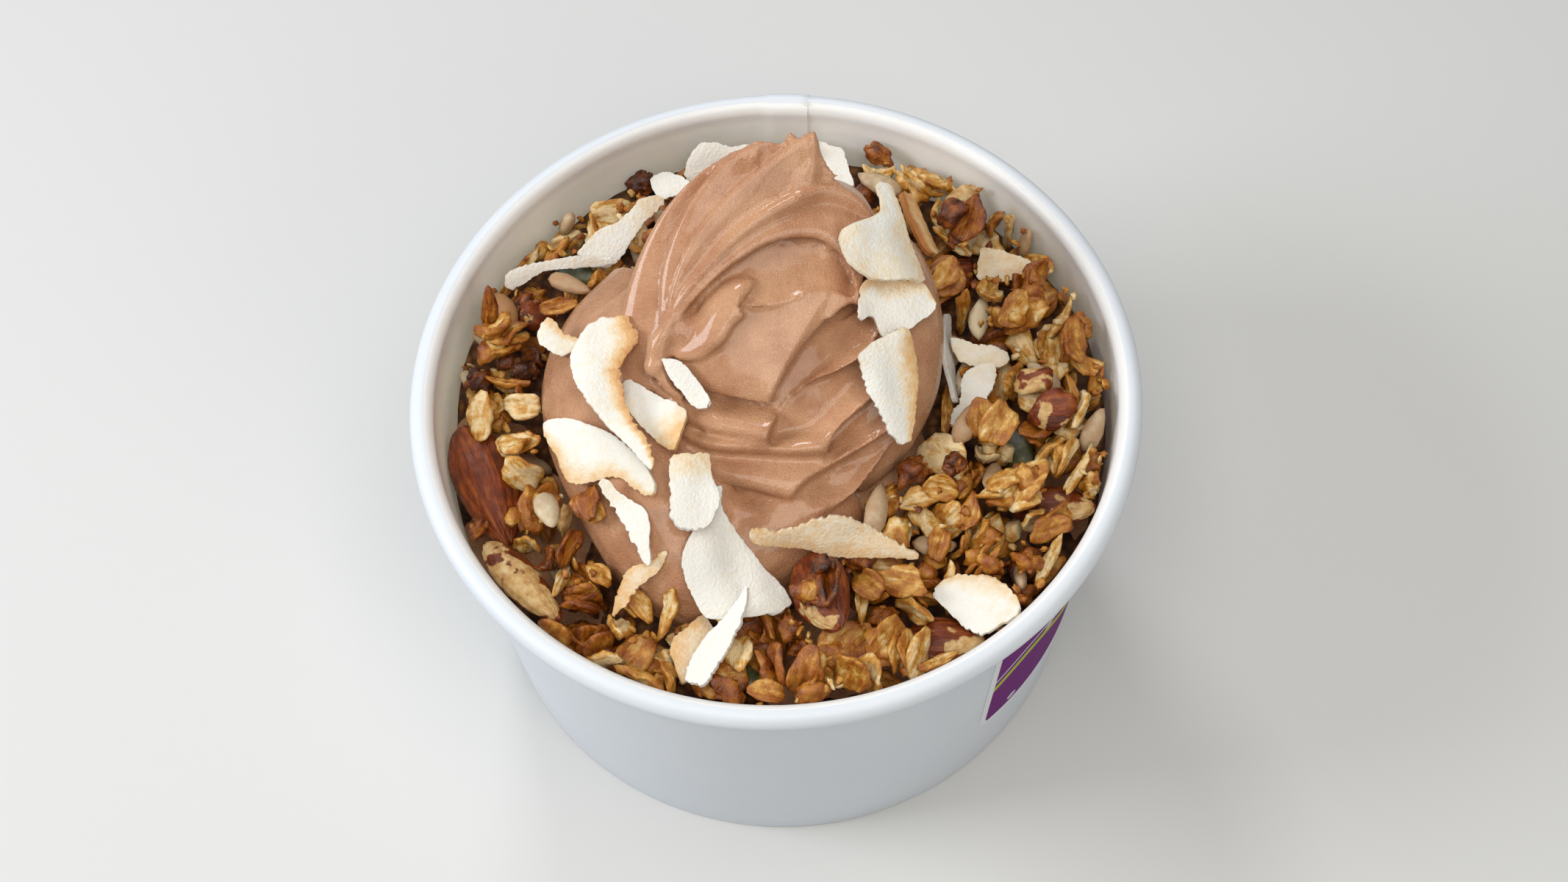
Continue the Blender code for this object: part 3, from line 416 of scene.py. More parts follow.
def table_top():
    s = Shader("table_top", 0.7)
    s.feed("Base Color", (0.62, 0.62, 0.61, 1))
    s.bump(s.noise(3, 2), 0.02)
    return s.mat


# ---- the tub

def wall_radius(z):
    return BASE_RADIUS + (WALL_TOP_RADIUS - BASE_RADIUS) * z / BEAD_CENTRE[1]


def inner_radius(z):
    return wall_radius(z) - PAPER


def arc(centre, radius, start, end, steps):
    angles = [math.radians(start + (end - start) * k / steps) for k in range(steps + 1)]
    return [(centre[0] + radius * math.cos(a), centre[1] + radius * math.sin(a)) for a in angles]


def turned(profile, steps):
    """A closed profile (radius, height) turned about the axis."""
    bm = bmesh.new()
    verts = [bm.verts.new((r * MM, 0, z * MM)) for r, z in profile]
    for a, b in zip(verts, verts[1:] + verts[:1]):
        bm.edges.new((a, b))
    ob = linked("turned", mesh_from(bm, "turned"))
    screw = ob.modifiers.new("turn", "SCREW")
    screw.steps = screw.render_steps = steps
    screw.use_merge_vertices = True
    screw.merge_threshold = 0.00001
    mesh = evaluated_mesh(ob)
    bpy.data.objects.remove(ob)
    return mesh


def seam(mesh):
    """The side seam: the flap glued inside makes the wall thicker over a few degrees, with a crisp edge."""
    for v in mesh.vertices:
        angle = math.degrees(math.atan2(v.co.y, v.co.x))
        radius = v.co.xy.length / MM
        near = angle - SEAM_ANGLE
        if -1.0 < near < 1.0:
            new = math.radians(SEAM_ANGLE + (0.04 if near > 0 else -0.04))
            v.co.x = radius * math.cos(new) * MM
            v.co.y = radius * math.sin(new) * MM
        z = v.co.z / MM
        if z < FOOT_HEIGHT:
            continue
        inside = radius < inner_radius(z) + 0.1 or (z > TUB_HEIGHT - 2 * BEAD_RADIUS)
        if inside and 0 < near < SEAM_WIDTH:
            fade = 1 - max(0.0, near - SEAM_WIDTH + SEAM_FADE) / SEAM_FADE
            push = -SEAM_STEP * fade if radius < BEAD_CENTRE[0] else SEAM_STEP * fade
            v.co.x *= 1 + push / radius
            v.co.y *= 1 + push / radius


def tub():
    low = wall_radius(0)
    profile = [(low - FOOT_WIDTH + 0.15, 0.12), (wall_radius(FOOT_HEIGHT) - FOOT_WIDTH, FOOT_HEIGHT - 0.4)]
    profile += [(inner_radius(z), z) for z in np.linspace(FOOT_HEIGHT, BEAD_CENTRE[1] - 0.5, 12)]
    profile += arc(BEAD_CENTRE, BEAD_RADIUS, 180, -125, 28)
    profile += arc(BEAD_CENTRE, BEAD_RADIUS - PAPER, -125, 168, 20)
    profile += [(wall_radius(z), z) for z in np.linspace(BEAD_CENTRE[1] - 1.2, 1.0, 14)]
    profile += [(low - 0.1, 0.15), (low - 0.5, 0.0), (low - FOOT_WIDTH + 0.5, 0.0)]
    mesh = turned(profile, TUB_STEPS)
    seam(mesh)
    smooth(mesh, 50)
    side = add_piece("tub_side", mesh, paper_outside(), "paper", "cup_side")
    side.data.materials.append(paper_inside())
    for face in mesh.polygons:
        out = Vector((face.center.x, face.center.y, 0)).normalized()
        inward = face.normal.dot(out) < -0.2 and face.center.xy.length < BEAD_CENTRE[0] * MM
        face.material_index = 1 if inward and face.center.z > FOOT_HEIGHT * MM else 0
    radius = wall_radius(FLOOR_TOP) - FOOT_WIDTH - 0.1
    low_z = FLOOR_TOP - FLOOR_THICKNESS
    disc = turned([(0.01, FLOOR_TOP), (0.01, low_z), (radius * 0.5, low_z), (radius - 0.2, low_z),
                   (radius, low_z + 0.1), (radius, FLOOR_TOP - 0.1), (radius - 0.2, FLOOR_TOP)], 180)
    add_piece("tub_bottom", smooth(disc, 40), paper_outside(), "paper", "cup_bottom")


def label():
    """The sticker: a sheet with round corners bent round the wall, touching it."""
    across, tall = LABEL_CELLS
    long_side = math.radians(LABEL_TO - LABEL_FROM) * wall_radius(36)
    high_side = LABEL_TOP - LABEL_BOTTOM
    bm = bmesh.new()
    rows = []
    where = []
    for j in range(tall + 1):
        v = high_side * j / tall
        z = LABEL_BOTTOM + v
        inset = max(0.0, LABEL_CORNER - min(v, high_side - v))
        trim = LABEL_CORNER - math.sqrt(max(0.0, LABEL_CORNER ** 2 - inset ** 2))
        row = []
        for i in range(across + 1):
            u = trim + (long_side - 2 * trim) * i / across
            a = math.radians(LABEL_FROM) + (math.radians(LABEL_TO - LABEL_FROM)) * u / long_side
            r = wall_radius(z) + LABEL_GAP
            row.append(bm.verts.new((r * math.cos(a) * MM, r * math.sin(a) * MM, z * MM)))
            where.append((u, v, min(u - trim, long_side - trim - u, v, high_side - v)))
        rows.append(row)
    skin(bm, rows)
    mesh = mesh_from(bm, "label")
    u, v, edge = zip(*where)
    paint(mesh, label_u=u, label_v=v, label_edge=edge)
    ob = add_piece("sticker", mesh, sticker(), "print", "label")
    thicken(ob, LABEL_THICKNESS, 1.0, 40)


# ---- soft shapes

def spline(points, steps):
    """Catmull-Rom curve through the points."""
    p = np.array(points, float)
    p = np.vstack([2 * p[0] - p[1], p, 2 * p[-1] - p[-2]])
    out = []
    for a, b, c, d in zip(p, p[1:], p[2:], p[3:]):
        for k in range(steps):
            t = k / steps
            out.append(0.5 * (2 * b + (c - a) * t + (2 * a - 5 * b + 4 * c - d) * t ** 2
                              + (3 * b - 3 * c + d - a) * t ** 3))
    out.append(p[-2])
    return np.array(out)


def resampled(points, count):
    """The curve through the points, as this many points evenly spaced along it."""
    line = spline(points, 12)
    along = np.concatenate([[0], np.cumsum(np.linalg.norm(np.diff(line, axis=0), axis=1))])
    at = np.linspace(0, along[-1], count)
    return np.stack([np.interp(at, along, line[:, k]) for k in range(3)], 1)


def closed_spline(ring):
    p = np.array(ring, float)
    whole = spline(np.vstack([p[-1], p, p[:2]]), RING_STEPS)
    return whole[RING_STEPS:-1 - RING_STEPS]


def smooth_step(x):
    x = min(1.0, max(0.0, x))
    return x * x * (3 - 2 * x)


def frames(path):
    """For each point: outward direction from the swirl's middle, and the direction down its face."""
    along = np.gradient(path, axis=0)
    along /= np.linalg.norm(along, axis=1)[:, None]
    out = path - SWIRL_CENTRE
    out -= (out * along).sum(1)[:, None] * along
    out /= np.linalg.norm(out, axis=1)[:, None]
    return out, np.cross(along, out)


def loft(rings):
    """A closed solid through rings of equal length, with its ends capped."""
    bm = bmesh.new()
    rows = [[bm.verts.new(Vector(p) * MM) for p in ring] for ring in rings]
    skin(bm, rows, around=True)
    bm.faces.new(rows[0][::-1])
    bm.faces.new(rows[-1])
    bmesh.ops.triangulate(bm, faces=bm.faces[:])
    bmesh.ops.recalc_face_normals(bm, faces=bm.faces[:])
    return mesh_from(bm, "loft")


def rope(points, radii, flat=0.8):
    """A soft rope whose outer side follows the points."""
    path = spline(points, CURVE_STEPS)
    out, down = frames(path)
    size = np.interp(np.linspace(0, 1, len(path)), np.linspace(0, 1, len(radii)), radii)
    turns = np.linspace(0, 2 * math.pi, ROPE_SIDES, endpoint=False)
    return loft([[q - n * k * flat + s * k * math.cos(a) + n * k * flat * math.sin(a) for a in turns]
                 for q, n, s, k in zip(path, out, down, size)])


def ridge(points, upper, lower, bulge, start, end, reach):
    """A crest through the points. upper and lower are the (width, drop) of its two sides."""
    path = spline(points, CURVE_STEPS)
    out, down = frames(path)
    rings = []
    for i, (q, n, s) in enumerate(zip(path, out, down)):
        u = i / (len(path) - 1)
        k = start + (1 - start) * smooth_step(u / reach[0])
        k *= end + (1 - end) * smooth_step((1 - u) / reach[1])
        sides = [(0, 0), (lower[0] * 0.15, -0.175), (lower[0] * 0.8, bulge * 0.3 - lower[1] * 0.6),
                 (lower[0], -lower[1]), (0, -6 - lower[1]), (-upper[0], -upper[1] - 3.5),
                 (-upper[0], -upper[1]), (-upper[0] * 0.5, bulge - upper[1] * 0.5),
                 (-upper[0] * 0.15, bulge * 0.45 - upper[1] * 0.15)]
        rings.append(closed_spline([q + s * a * k + n * b * k for a, b in sides]))
    return loft(rings)


def fold(lip, root, sole, depth, roll=0.0, recess=0.5, scoop=0.0, leaf=0.0):
    """A fold lying on the one below.

    Its face runs from the root, this depth under the fold above, to the lip. A lip is one curve, or two
    that meet in a corner: a soft roll at the front, then a sharp crest with a leaf-shaped hollow behind it.
    """
    sole = np.array(sole, float)
    rings = []
    for part, (lip_part, root_part) in enumerate(zip(lip, root)):
        path = resampled(lip_part, FOLD_STATIONS)
        base = resampled(root_part, FOLD_STATIONS)
        for i in range(part, FOLD_STATIONS):
            u = i / (FOLD_STATIONS - 1)
            side = smooth_step(u / 0.15) if part else 0.0
            drop = depth + leaf * side * (1 - u) ** 0.6
            q = path[i]
            b = base[i] - (0, 0, drop)
            away = (q - b) * (1, 1, 0)
            away /= np.linalg.norm(away) + 1e-6
            face = []
            for v in (0.97, 0.82, 0.66, 0.5, 0.36, 0.24, 0.14, 0.06):
                rolled = (1 - side) * roll * math.sin(math.pi * v ** 0.5)
                lift = rolled - side * scoop * math.sin(math.pi * v ** 0.7)
                face.append(q + (b - q) * v + (0, 0, lift))
            low = q - away * drop * recess - (0, 0, drop)
            edge = [q, q - away * drop * recess * 0.35 - (0, 0, 0.35 + drop * 0.25),
                    q - away * drop * recess * 0.8 - (0, 0, drop * 0.65)]
            rings.append(face + edge + [low + (sole - low) * v for v in (0, 0.3, 0.9)])
    return loft(rings)


def ellipsoid(centre, radii):
    bm = bmesh.new()
    bmesh.ops.create_uvsphere(bm, u_segments=40, v_segments=24, radius=1.0)
    bm.transform(Matrix.Translation(Vector(centre) * MM) @ Matrix.Diagonal((*(Vector(radii) * MM), 1)))
    return mesh_from(bm, "ellipsoid")


# ---- the swirl

# Crest lines of the crown, from the torn peak round the left to the neck
OUTER_CREST = [(-1, 27, 90), (-7.5, 25.6, 87.3), (-14.2, 22.2, 83), (-19, 17.5, 78.3), (-22.8, 11, 73),
               (-25, 4, 68.5), (-25.5, -3, 65), (-23, -10, 62)]
SECOND_CREST = [(-0.4, 27, 90.5), (-6, 25, 88.8), (-10.5, 21.5, 86), (-14.2, 17, 82.6), (-16.6, 12, 79.3),
                (-17.2, 7, 76.6), (-17.2, 2, 75)]
THIRD_CREST = [(6.6, 27.4, 91.8), (1, 24.2, 90), (-4.6, 20.6, 88.2), (-9.8, 16.2, 85.8), (-13.2, 11.5, 83),
               (-15.3, 7.2, 80), (-16.5, 3, 77.3)]
FOURTH_CREST = [(17, 17.4, 82.3), (13.8, 20.3, 85.2), (8.8, 20.8, 87), (2.4, 17.9, 87.2), (-4, 14.2, 86),
                (-9.2, 10, 83.6), (-13.1, 6.4, 81), (-15.8, 3, 77.7)]
CROWN_LIP = [(13.7, 4.6, 78), (12.6, 7.2, 79.8), (11.9, 10.3, 81.6), (8, 13.4, 83.4), (1.5, 12.9, 84.2),
             (-5, 9.9, 83.2), (-9.9, 6.7, 81.3), (-14, 3.4, 78.4)]

# The ledge at the top of the main lobe, and the lips of the lobe and the four pleats below it.
# Each lip is a front part, then a side part from its corner up to the right.
LEDGE = [(-12.6, -0.6, 76.2), (-9.4, 1.6, 77.6), (-6, 4.3, 80), (-2.2, 4, 80.2), (1.9, 4.5, 80.2),
         (6, 6, 80.4), (9.8, 5.8, 80), (13.5, 4.3, 78.5)]
LOBE_ROOT = ([(-14.5, 1, 75), (-12, 1.5, 76.4), (-8, 4, 78.8), (-3, 5.6, 80.2), (4, 6.4, 80.4),
              (9, 7.2, 80.5)],
             [(9, 7.2, 80.5), (11.5, 6.6, 80), (13.4, 5.6, 79), (15, 8, 77.5), (16, 12, 75)])
LIPS = [
    ([(-17.5, 2, 71), (-14.7, -1.7, 71.8), (-10.4, -5.6, 72.2), (-4.6, -7.8, 72.6), (-1, -8.9, 72.9)],
     [(-1, -8.9, 72.9), (0.6, -6.4, 74), (3.9, -1.6, 76.2), (8.2, 2.9, 78), (11.8, 5.2, 78.8), (15, 8, 77.5),
      (16, 12, 75)]),
    ([(-19, -3, 68.5), (-16.4, -7.4, 69.2), (-11.1, -10.9, 69.5), (-4.9, -13, 69.8), (-1.6, -14.4, 70)],
     [(-1.6, -14.4, 70), (-0.6, -11.6, 71.4), (1.4, -8.8, 72.6), (5.4, -6.2, 74), (10, -4.6, 74.5),
      (14.6, -1.6, 74.6), (18, 5, 74), (18.4, 12, 72)]),
    ([(-18, -8, 66.5), (-11.3, -13.2, 68), (-4, -14.6, 68.2), (2.5, -15.3, 68.2), (7.4, -15.4, 68)],
     [(7.4, -15.4, 68), (9.2, -12.4, 69.7), (11.8, -10.2, 70.8), (14.8, -8, 71.3), (18, -4, 72),
      (20.6, 3, 72), (21, 12, 70.5)]),
    ([(-18, -12, 64), (-9.5, -17.5, 65.3), (-3.5, -19.6, 65), (1.4, -21.2, 64.6)],
     [(1.4, -21.2, 64.6), (3.6, -19, 66), (6.4, -17.4, 66.8), (9.5, -16, 67.3), (14.8, -13.3, 67.8),
      (18.4, -10.4, 68.2), (22.5, -2, 69), (23.6, 10, 68.5)]),
    ([(-20, -14, 60.5), (-11, -21, 62), (-5.6, -23, 61.7), (0.6, -24.2, 61.2), (6.6, -22.8, 61.8)],
     [(6.6, -22.8, 61.8), (12.7, -18.5, 63.6), (17.5, -12.7, 65.6), (21.5, -7.6, 67), (24.5, 2, 69),
      (25.4, 9, 68.6), (24.5, 16, 66)])]


def swirl_body():
    """Rounded masses under the folds."""
    return [ellipsoid((2, 8, 56), (24, 24, 19)),
            ellipsoid((2, 18, 64), (14, 10, 15)),
            ellipsoid((3.5, 11.5, 72.2), (11, 8, 6.6)),
            ellipsoid((3, 1, 59), (17, 16, 12)),
            ellipsoid((-4, -8, 50), (28, 24, 9)),
            ellipsoid((-4, 8, 52), (27, 28, 13)),
            rope([(3, 27.5, 88), (8, 24, 80), (12, 19, 74), (18, 12, 68)], [3, 6, 8, 9]),
            rope([(5, 27, 86), (5, 30, 79), (4, 35.5, 70), (3, 40.5, 61), (2, 43, 52)], [2.5, 5, 8.5, 10, 8]),
            rope([(-4, 26.5, 84), (-7, 29, 76), (-9, 32.5, 67), (-10, 35, 57)], [3.5, 6, 7.5, 8]),
            rope([(10, 24.5, 83), (12, 25.5, 76), (14, 27, 67), (15, 28, 57)], [4, 6, 7.5, 8])]


def shifted(points, *offset):
    return [tuple(a + b for a, b in zip(p, offset)) for p in points]


def swirl_crown():
    """The torn peak, and the strands that run from it round the left to the neck."""
    return [
        fold([OUTER_CREST], [SECOND_CREST], (0, 18, 68), 2.0, 1.4, recess=0.2),
        fold([SECOND_CREST], [THIRD_CREST], (0, 18, 72), 1.8, 0.9, recess=0.3),
        fold([THIRD_CREST], [FOURTH_CREST], (3, 18, 72), 1.9, 0.9, recess=0.3),
        ridge(FOURTH_CREST, (1.0, 2.0), (5, 2.2), 0.8, 0.35, 0.25, (0.15, 0.6)),
        fold([CROWN_LIP], [FOURTH_CREST], (5, 20, 72), 2.0, 0.7, recess=1.0),
        fold([LEDGE], [shifted(CROWN_LIP[::-1], -0.5, 2.6, 0)], (3, 12, 70), 1.9, -0.9),
        rope([(4.6, 28, 91.4), (6.3, 27, 89.5), (8.3, 24.5, 86), (11, 20, 80)], [0.7, 2.0, 4.5, 7]),
        rope([(8.3, 27.7, 91.9), (8.9, 26.5, 89), (10, 24, 85), (12, 19, 79)], [0.7, 2.2, 4.5, 7]),
        rope([(-0.3, 27.5, 90.4), (0.5, 26, 88), (2, 22, 83)], [0.8, 3, 6]),
        rope([(10, 18, 84), (14, 18, 82.6), (16.6, 17, 81), (17, 14, 78)], [4, 4.4, 4, 2.6]),
        rope([(-15.4, 0.2, 75.4), (-12.6, 0.2, 76.8), (-10.2, 1.6, 78.6), (-8.3, 4.0, 80.2),
              (-6.2, 5.6, 81.2), (-4.4, 6.2, 81.5), (-3.4, 5.6, 81)],
             [1.6, 2.8, 3.4, 3.6, 3.8, 3.4, 2.2], flat=0.42),
        ellipsoid((-13.4, 3.6, 75.6), (3.4, 3.4, 2.6)),
        ridge([(-29, 12.5, 66), (-25.4, 13.6, 68.6), (-21.6, 14.8, 70.8), (-18.4, 15, 72.8),
               (-16.5, 13.5, 75)], (3.5, 2.4), (4, 1.6), 0.6, 0.4, 0.3, (0.3, 0.5))]


def swirl_folds():
    """The main lobe and the pleats stacked below it."""
    soles = [(1, 6, 66), (2, 4, 63), (3, 3, 61), (4, 2, 58), (2, 0, 55)]
    roots = [LOBE_ROOT] + LIPS[:-1]
    depths = (0.6, 2.4, 1.8, 1.8, 2.6)
    leaves = (0, 4.2, 3.2, 2.2, 1.8)
    return [fold(lip, root, sole, depth, 1.2, scoop=0.8 if leaf else 0.0, leaf=leaf)
            for lip, root, sole, depth, leaf in zip(LIPS, roots, soles, depths, leaves)]


def swirl_coils():
    """The outer coil at the right, the two coils at the foot, and the knot where the strands meet."""
    return [
        rope([(17, 21, 77), (22, 17.5, 76), (24.8, 12, 74), (26, 6, 71), (25.5, 0, 68), (23.8, -5.5, 65.5),
              (19, -12.4, 62), (12, -17, 58.5)], [4, 6, 7, 7.5, 7.5, 7.5, 7, 6], flat=1.0),
        rope([(-26, 26, 56), (-33, 17, 57), (-37, 6, 57.5), (-36, -6, 57.5), (-31.5, -18, 57), (-26, -28, 56),
              (-20, -34, 54), (-13, -36, 53), (-6, -33.5, 53), (0, -30.5, 54), (6, -27, 54.5), (12, -22, 52)],
             [8, 10, 11, 11, 11, 10.5, 9.5, 9, 9, 9, 8.5, 7], flat=1.0),
        rope([(-27, 10, 62.5), (-30, 2, 61.5), (-29.5, -7, 61), (-25, -16, 60.5), (-19, -23, 59.5),
              (-11, -27, 56.5), (-2, -26, 53.5), (6, -22, 52)], [7, 8, 8, 8, 8, 7, 6.5, 6], flat=1.0),
        rope([(-15.6, 4.5, 79), (-17.3, 2, 77.8), (-18.7, 0.4, 76.4), (-18.9, -2.1, 74.6)],
             [1.2, 1.5, 2.0, 1.7], flat=1.0),
        ellipsoid((-18.2, -1.6, 73.6), (1.7, 1.8, 1.6)),
        rope([(-18, -2.4, 73.8), (-17.2, -4.4, 72.8), (-15.8, -5.8, 72.2), (-14, -6.6, 71.8)],
             [1.2, 1.0, 0.9, 0.5], flat=1.0)]


def yogurt():
    """The swirl, fused from its folds, over the filling in the tub."""
    bm = bmesh.new()
    for mesh in swirl_body() + swirl_crown() + swirl_folds() + swirl_coils():
        bm.from_mesh(mesh)
        bpy.data.meshes.remove(mesh)
    mat = soft_serve()
    swirl = add_piece("swirl", mesh_from(bm, "swirl"), mat, "yogurt", "yogurt")
    fuse = swirl.modifiers.new("fuse", "REMESH")
    fuse.mode = "VOXEL"
    fuse.voxel_size = SWIRL_VOXEL * MM
    soften = swirl.modifiers.new("soften", "SMOOTH")
    soften.factor = 0.5
    soften.iterations = 5
    apply_modifiers(swirl)
    smooth(swirl.data)
    levels = np.linspace(FILL_BOTTOM, FILL_LEVEL, 8)
    rings = [(0.01, FILL_LEVEL), (0.01, FILL_BOTTOM)] + [(inner_radius(z) - 0.05, z) for z in levels]
    add_piece("filling", smooth(turned(rings, 120), 40), mat, "yogurt", "yogurt")
    return swirl


# ---- toppings

# Each coconut chip: heading, pitch and roll of its length in degrees; length; how far it reaches to the
# left and to the right of its length, at seven places along it; its curl, in degrees; and how far it is
# toasted at its left edge, right edge, start, end and all over.
CHIPS = [
    # lying on the heap behind the peak
    ((0, 0, 45), 16, (0.5, 3.8, 3.9, 3.1, 3.2, 3.2, 2.9),
     (3.7, 3.9, 3.8, 3.7, 2.7, 1.7, 0.8), 8, (0, 0, 0, 0, 0)),
    ((-60, -5, 10), 10.5, (0.4, 1, 2.3, 1.8, 1.2, 0.7, 0.2),
     (0.9, 1.2, 1.5, 1.8, 2.1, 2.3, 1.3), 8, (0, 0, 0, 0, 0)),
    ((-20, 0, 15), 7, (1, 1.9, 2.4, 2.3, 2.2, 1.8, 1.2),
     (0.5, 1.6, 2.2, 2.1, 1.6, 1, 0.4), 8, (0, 0, 0, 0, 0)),
    # back left
    ((38, 8, 30), 17, (2.6, 3.1, 3.2, 2.4, 2.4, 2.8, 1.4),
     (0.2, 2.4, 2.4, 1.4, 0.6, 0.3, 0.1), 12, (0.1, 0, 0, 0.3, 0)),
    # left flank
    ((-30, 8, 24), 21.5, (3.2, 4.5, 4.7, 4.6, 3.6, 2.1, -0.4),
     (-1.2, 1.4, 4.5, 3.4, 1.2, 2, 2.2), 10, (0, 0.4, 0, 0.1, 0.03)),
    ((-50, 5, 18), 14.3, (0.8, 1.3, 1.7, 2.3, 2.9, 2.4, -1.8),
     (0.7, 2.3, 2.9, 3.1, 3.3, 3.3, 3), 8, (0, 0.15, 0, 0.5, 0)),
    ((-75, -4, 0), 26.5, (4.6, 5.6, 1.6, 0.6, 0.6, 1.6, 1.6),
     (1, 5, 5.8, 4.9, 3.3, 1.2, -0.6), -8, (0.6, 0, 0, 0, 0.05)),
    ((-45, -15, 20), 10, (0.6, 1.6, 1.8, 1.6, 1.3, 1, 0.5),
     (0.2, 0.8, 1.2, 1.5, 1.7, 1.8, 1.2), 10, (0, 0, 0, 0, 0)),
    ((-125, -35, -15), 12.5, (2.1, 2, 1.3, 0.5, 0, -0.5, -1),
     (-0.9, -0.4, 1.9, 2.4, 2.3, 2.1, 1.6), -8, (0.1, 0.2, 0, 0.2, 0.3)),
    ((-60, -14, 22), 15, (-0.2, 0.2, 1.1, 2.2, 1.5, 0, -1.2),
     (1.8, 1.7, 1.6, 1.6, 1.8, 2, 2), 10, (0, 0, 0.15, 0, 0)),
    ((-35, 0, 20), 8, (2.2, 2.1, 1.7, 1.4, 1.3, 1.4, 1.2),
     (1.3, 2.1, 2.3, 2.4, 2.1, 0.6, -0.6), 16, (0.35, 0, 0, 0.1, 0.1)),
    # front
    ((-120, -6, -10), 10.6, (0.8, 2.7, 2.5, 2.3, 2.3, 2.5, 2.7),
     (0.7, 1.2, 1.8, 2.5, 2.1, 0.4, -1.4), 10, (0, 0.15, 0, 0, 0.34)),
    ((-65, -25, -8), 21.5, (4.4, 3, 3.4, 4.2, 4.9, 6.2, 6.4),
     (-2.2, 1, 5.6, 6.8, 6.8, 5.8, -3.4), 12, (0, 0, 0, 0, 0)),
    ((-85, -12, -10), 11.8, (3.3, 3.2, 3.3, 3.9, 3.7, 2.7, 1.5),
     (2.8, 3, 3.2, 3.4, 3.6, 3.7, 2.6), 10, (0, 0, 0.3, 0, 0)),
    ((-118, -14, 20), 16.5, (1.7, 2.5, 2.8, 2.7, 2.6, 2.2, 2),
     (-1.2, -0.7, 0.3, 1.3, 2.1, 2.5, 2.1), 10, (0, 0, 0, 0, 0)),
    ((-5, -12, 55), 26, (-0.2, 0, 1.9, 3.7, 2.3, 0.6, -0.9),
     (2.5, 2.7, 2.7, 3.5, 3, 2.2, 1.8), 8, (0, 0.15, 0.1, 0.1, 0.27)),
    ((-25, 10, 4), 13.6, (1.2, 3.5, 4.1, 4.9, 4.4, 3.2, 1.6),
     (1.1, 1.9, 3.2, 4.2, 4.4, 2.6, 0.2), 10, (0.35, 0, 0, 0.1, 0)),
    # right side
    ((0, -14, 18), 11.8, (3.8, 4.6, 4.7, 4.5, 4.7, 4.6, 2),
     (2.6, 1.4, 4.4, 3.8, 2.9, 1.4, 0.2), 10, (0.4, 0, 0, 0, 0)),
    ((-80, -8, -30), 16.8, (4.4, 4.9, 5.1, 5.6, 6.2, 6.8, 6.8),
     (-1.9, -2, -0.6, 6.2, 6.8, 6.1, 3), -6, (0.3, 0.2, 0, 0.2, 0)),
    ((-84, -26, -18), 17.6, (3.7, 4.2, 4.3, 4.1, 3.3, 2.4, 1.3),
     (-1.8, 4.3, 4.6, 4.2, 3.1, 2.1, 0.7), 10, (0.5, 0, 0.1, 0, 0)),
    ((-64, -8, -40), 13, (3, 3.1, 2.6, 1.9, 1.2, 0.4, 0),
     (-0.3, 0.6, 1.4, 2, 2.5, 2.9, 3), 12, (0.2, 0.5, 0.2, 0, 0.42)),
    ((-90, 4, -68), 18, (1.4, 1.8, 2.2, 2.2, 2.1, 1.5, 0.4),
     (0.2, 0.8, 1.4, 1.4, 1.4, 1.7, 1.6), 8, (0, 0, 0, 0, 0)),
    ((-12, 2, 14), 9.8, (2, 2.1, 1.7, 1.6, 1.5, 1.2, 0.4),
     (-1, 1.2, 2, 2.3, 2.3, 2.1, 1.3), 12, (0, 0.1, 0, 0, 0.15)),
    ((-112, -2, 6), 12.9, (1.9, 2.4, 2.7, 2.1, 1.6, 0.9, -0.2),
     (-0.6, 1.8, 2.6, 1.9, 1.7, 2.2, 1.8), 10, (0, 0.1, 0.15, 0, 0)),
    ((-6, 0, 12), 8.8, (2.9, 2.8, 2.6, 2.3, 1.9, 1.4, 1.1),
     (2.8, 2.9, 2.9, 2.6, 2.4, 2.3, 2.2), 6, (0, 0, 0, 0, 0.3)),
    # against the wall at the back left
    ((12, 4, 50), 18.5, (1.5, 2, 1.8, 1.5, 1.2, 0, -1),
     (1.2, 0.6, -0.3, 0.1, 0.7, 1.3, 1.6), 10, (0, 0, 0, 0, 0.05)),
]

# Each almond: (heading, pitch, roll), (length, width, thickness), and how much of its kernel is bare.
ALMONDS = [
    ((-72, 4, -8), (23.5, 10.8, 8.2), 0.0),
    ((-52, 2, -32), (18.0, 7.4, 5.4), 0.49),
    ((-72, 14, 30), (15.0, 10.4, 6.4), 0.3),
    ((-4, 6, -16), (12.4, 8.8, 6.0), 0.32),
    ((-12, 20, -12), (13.0, 8.6, 6.0), 0.35),
]

# Each pumpkin seed: (heading, pitch, roll), (length, width, thickness).
PUMPKIN_SEEDS = [
    ((-74, 8, 20), (9.5, 5.6, 2.3)),
    ((-34, 6, -20), (8.6, 4.6, 2.3)),
    ((-20, 4, 16), (7.0, 4.2, 2.2)),
]

# Each baked cluster: heading, (length, width, height) and how toasted it is.
CLUSTERS = [
    (-66, (12.0, 8.6, 6.6), 0.5),
    (18, (17.5, 9.6, 7.2), 0.4),
    (-38, (16.0, 8.6, 6.0), 0.45),
    (-68, (10.5, 7.0, 11.0), 0.15),
    (-16, (12.5, 8.0, 6.0), 0.25),
    (26, (11.0, 8.6, 6.2), 0.2),
    (-44, (12.5, 7.0, 6.0), 0.15),
    (-82, (14.0, 4.6, 5.0), 0.3),
]


def turn(heading, pitch, roll):
    """Length along the heading, raised by pitch, then rolled about the length."""
    return Euler((math.radians(roll), math.radians(-pitch), math.radians(heading)), "XYZ").to_matrix()


def middle_of(node):
    low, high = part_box(node)
    return (Vector(low) + Vector(high)) / 2


def along_chip(u, length, bend):
    """A point on the middle line of a curled chip: an arc whose ends curl up, or down if bend is negative."""
    half = math.radians(bend) * u / 2
    return Vector((math.cos(half), 0, math.sin(half))) * u * length


def wander(x, seed, size=1.0):
    """Smooth signed noise along a line."""
    return noise.noise(Vector((x * size, seed * 7.3, 2.1 * seed)))


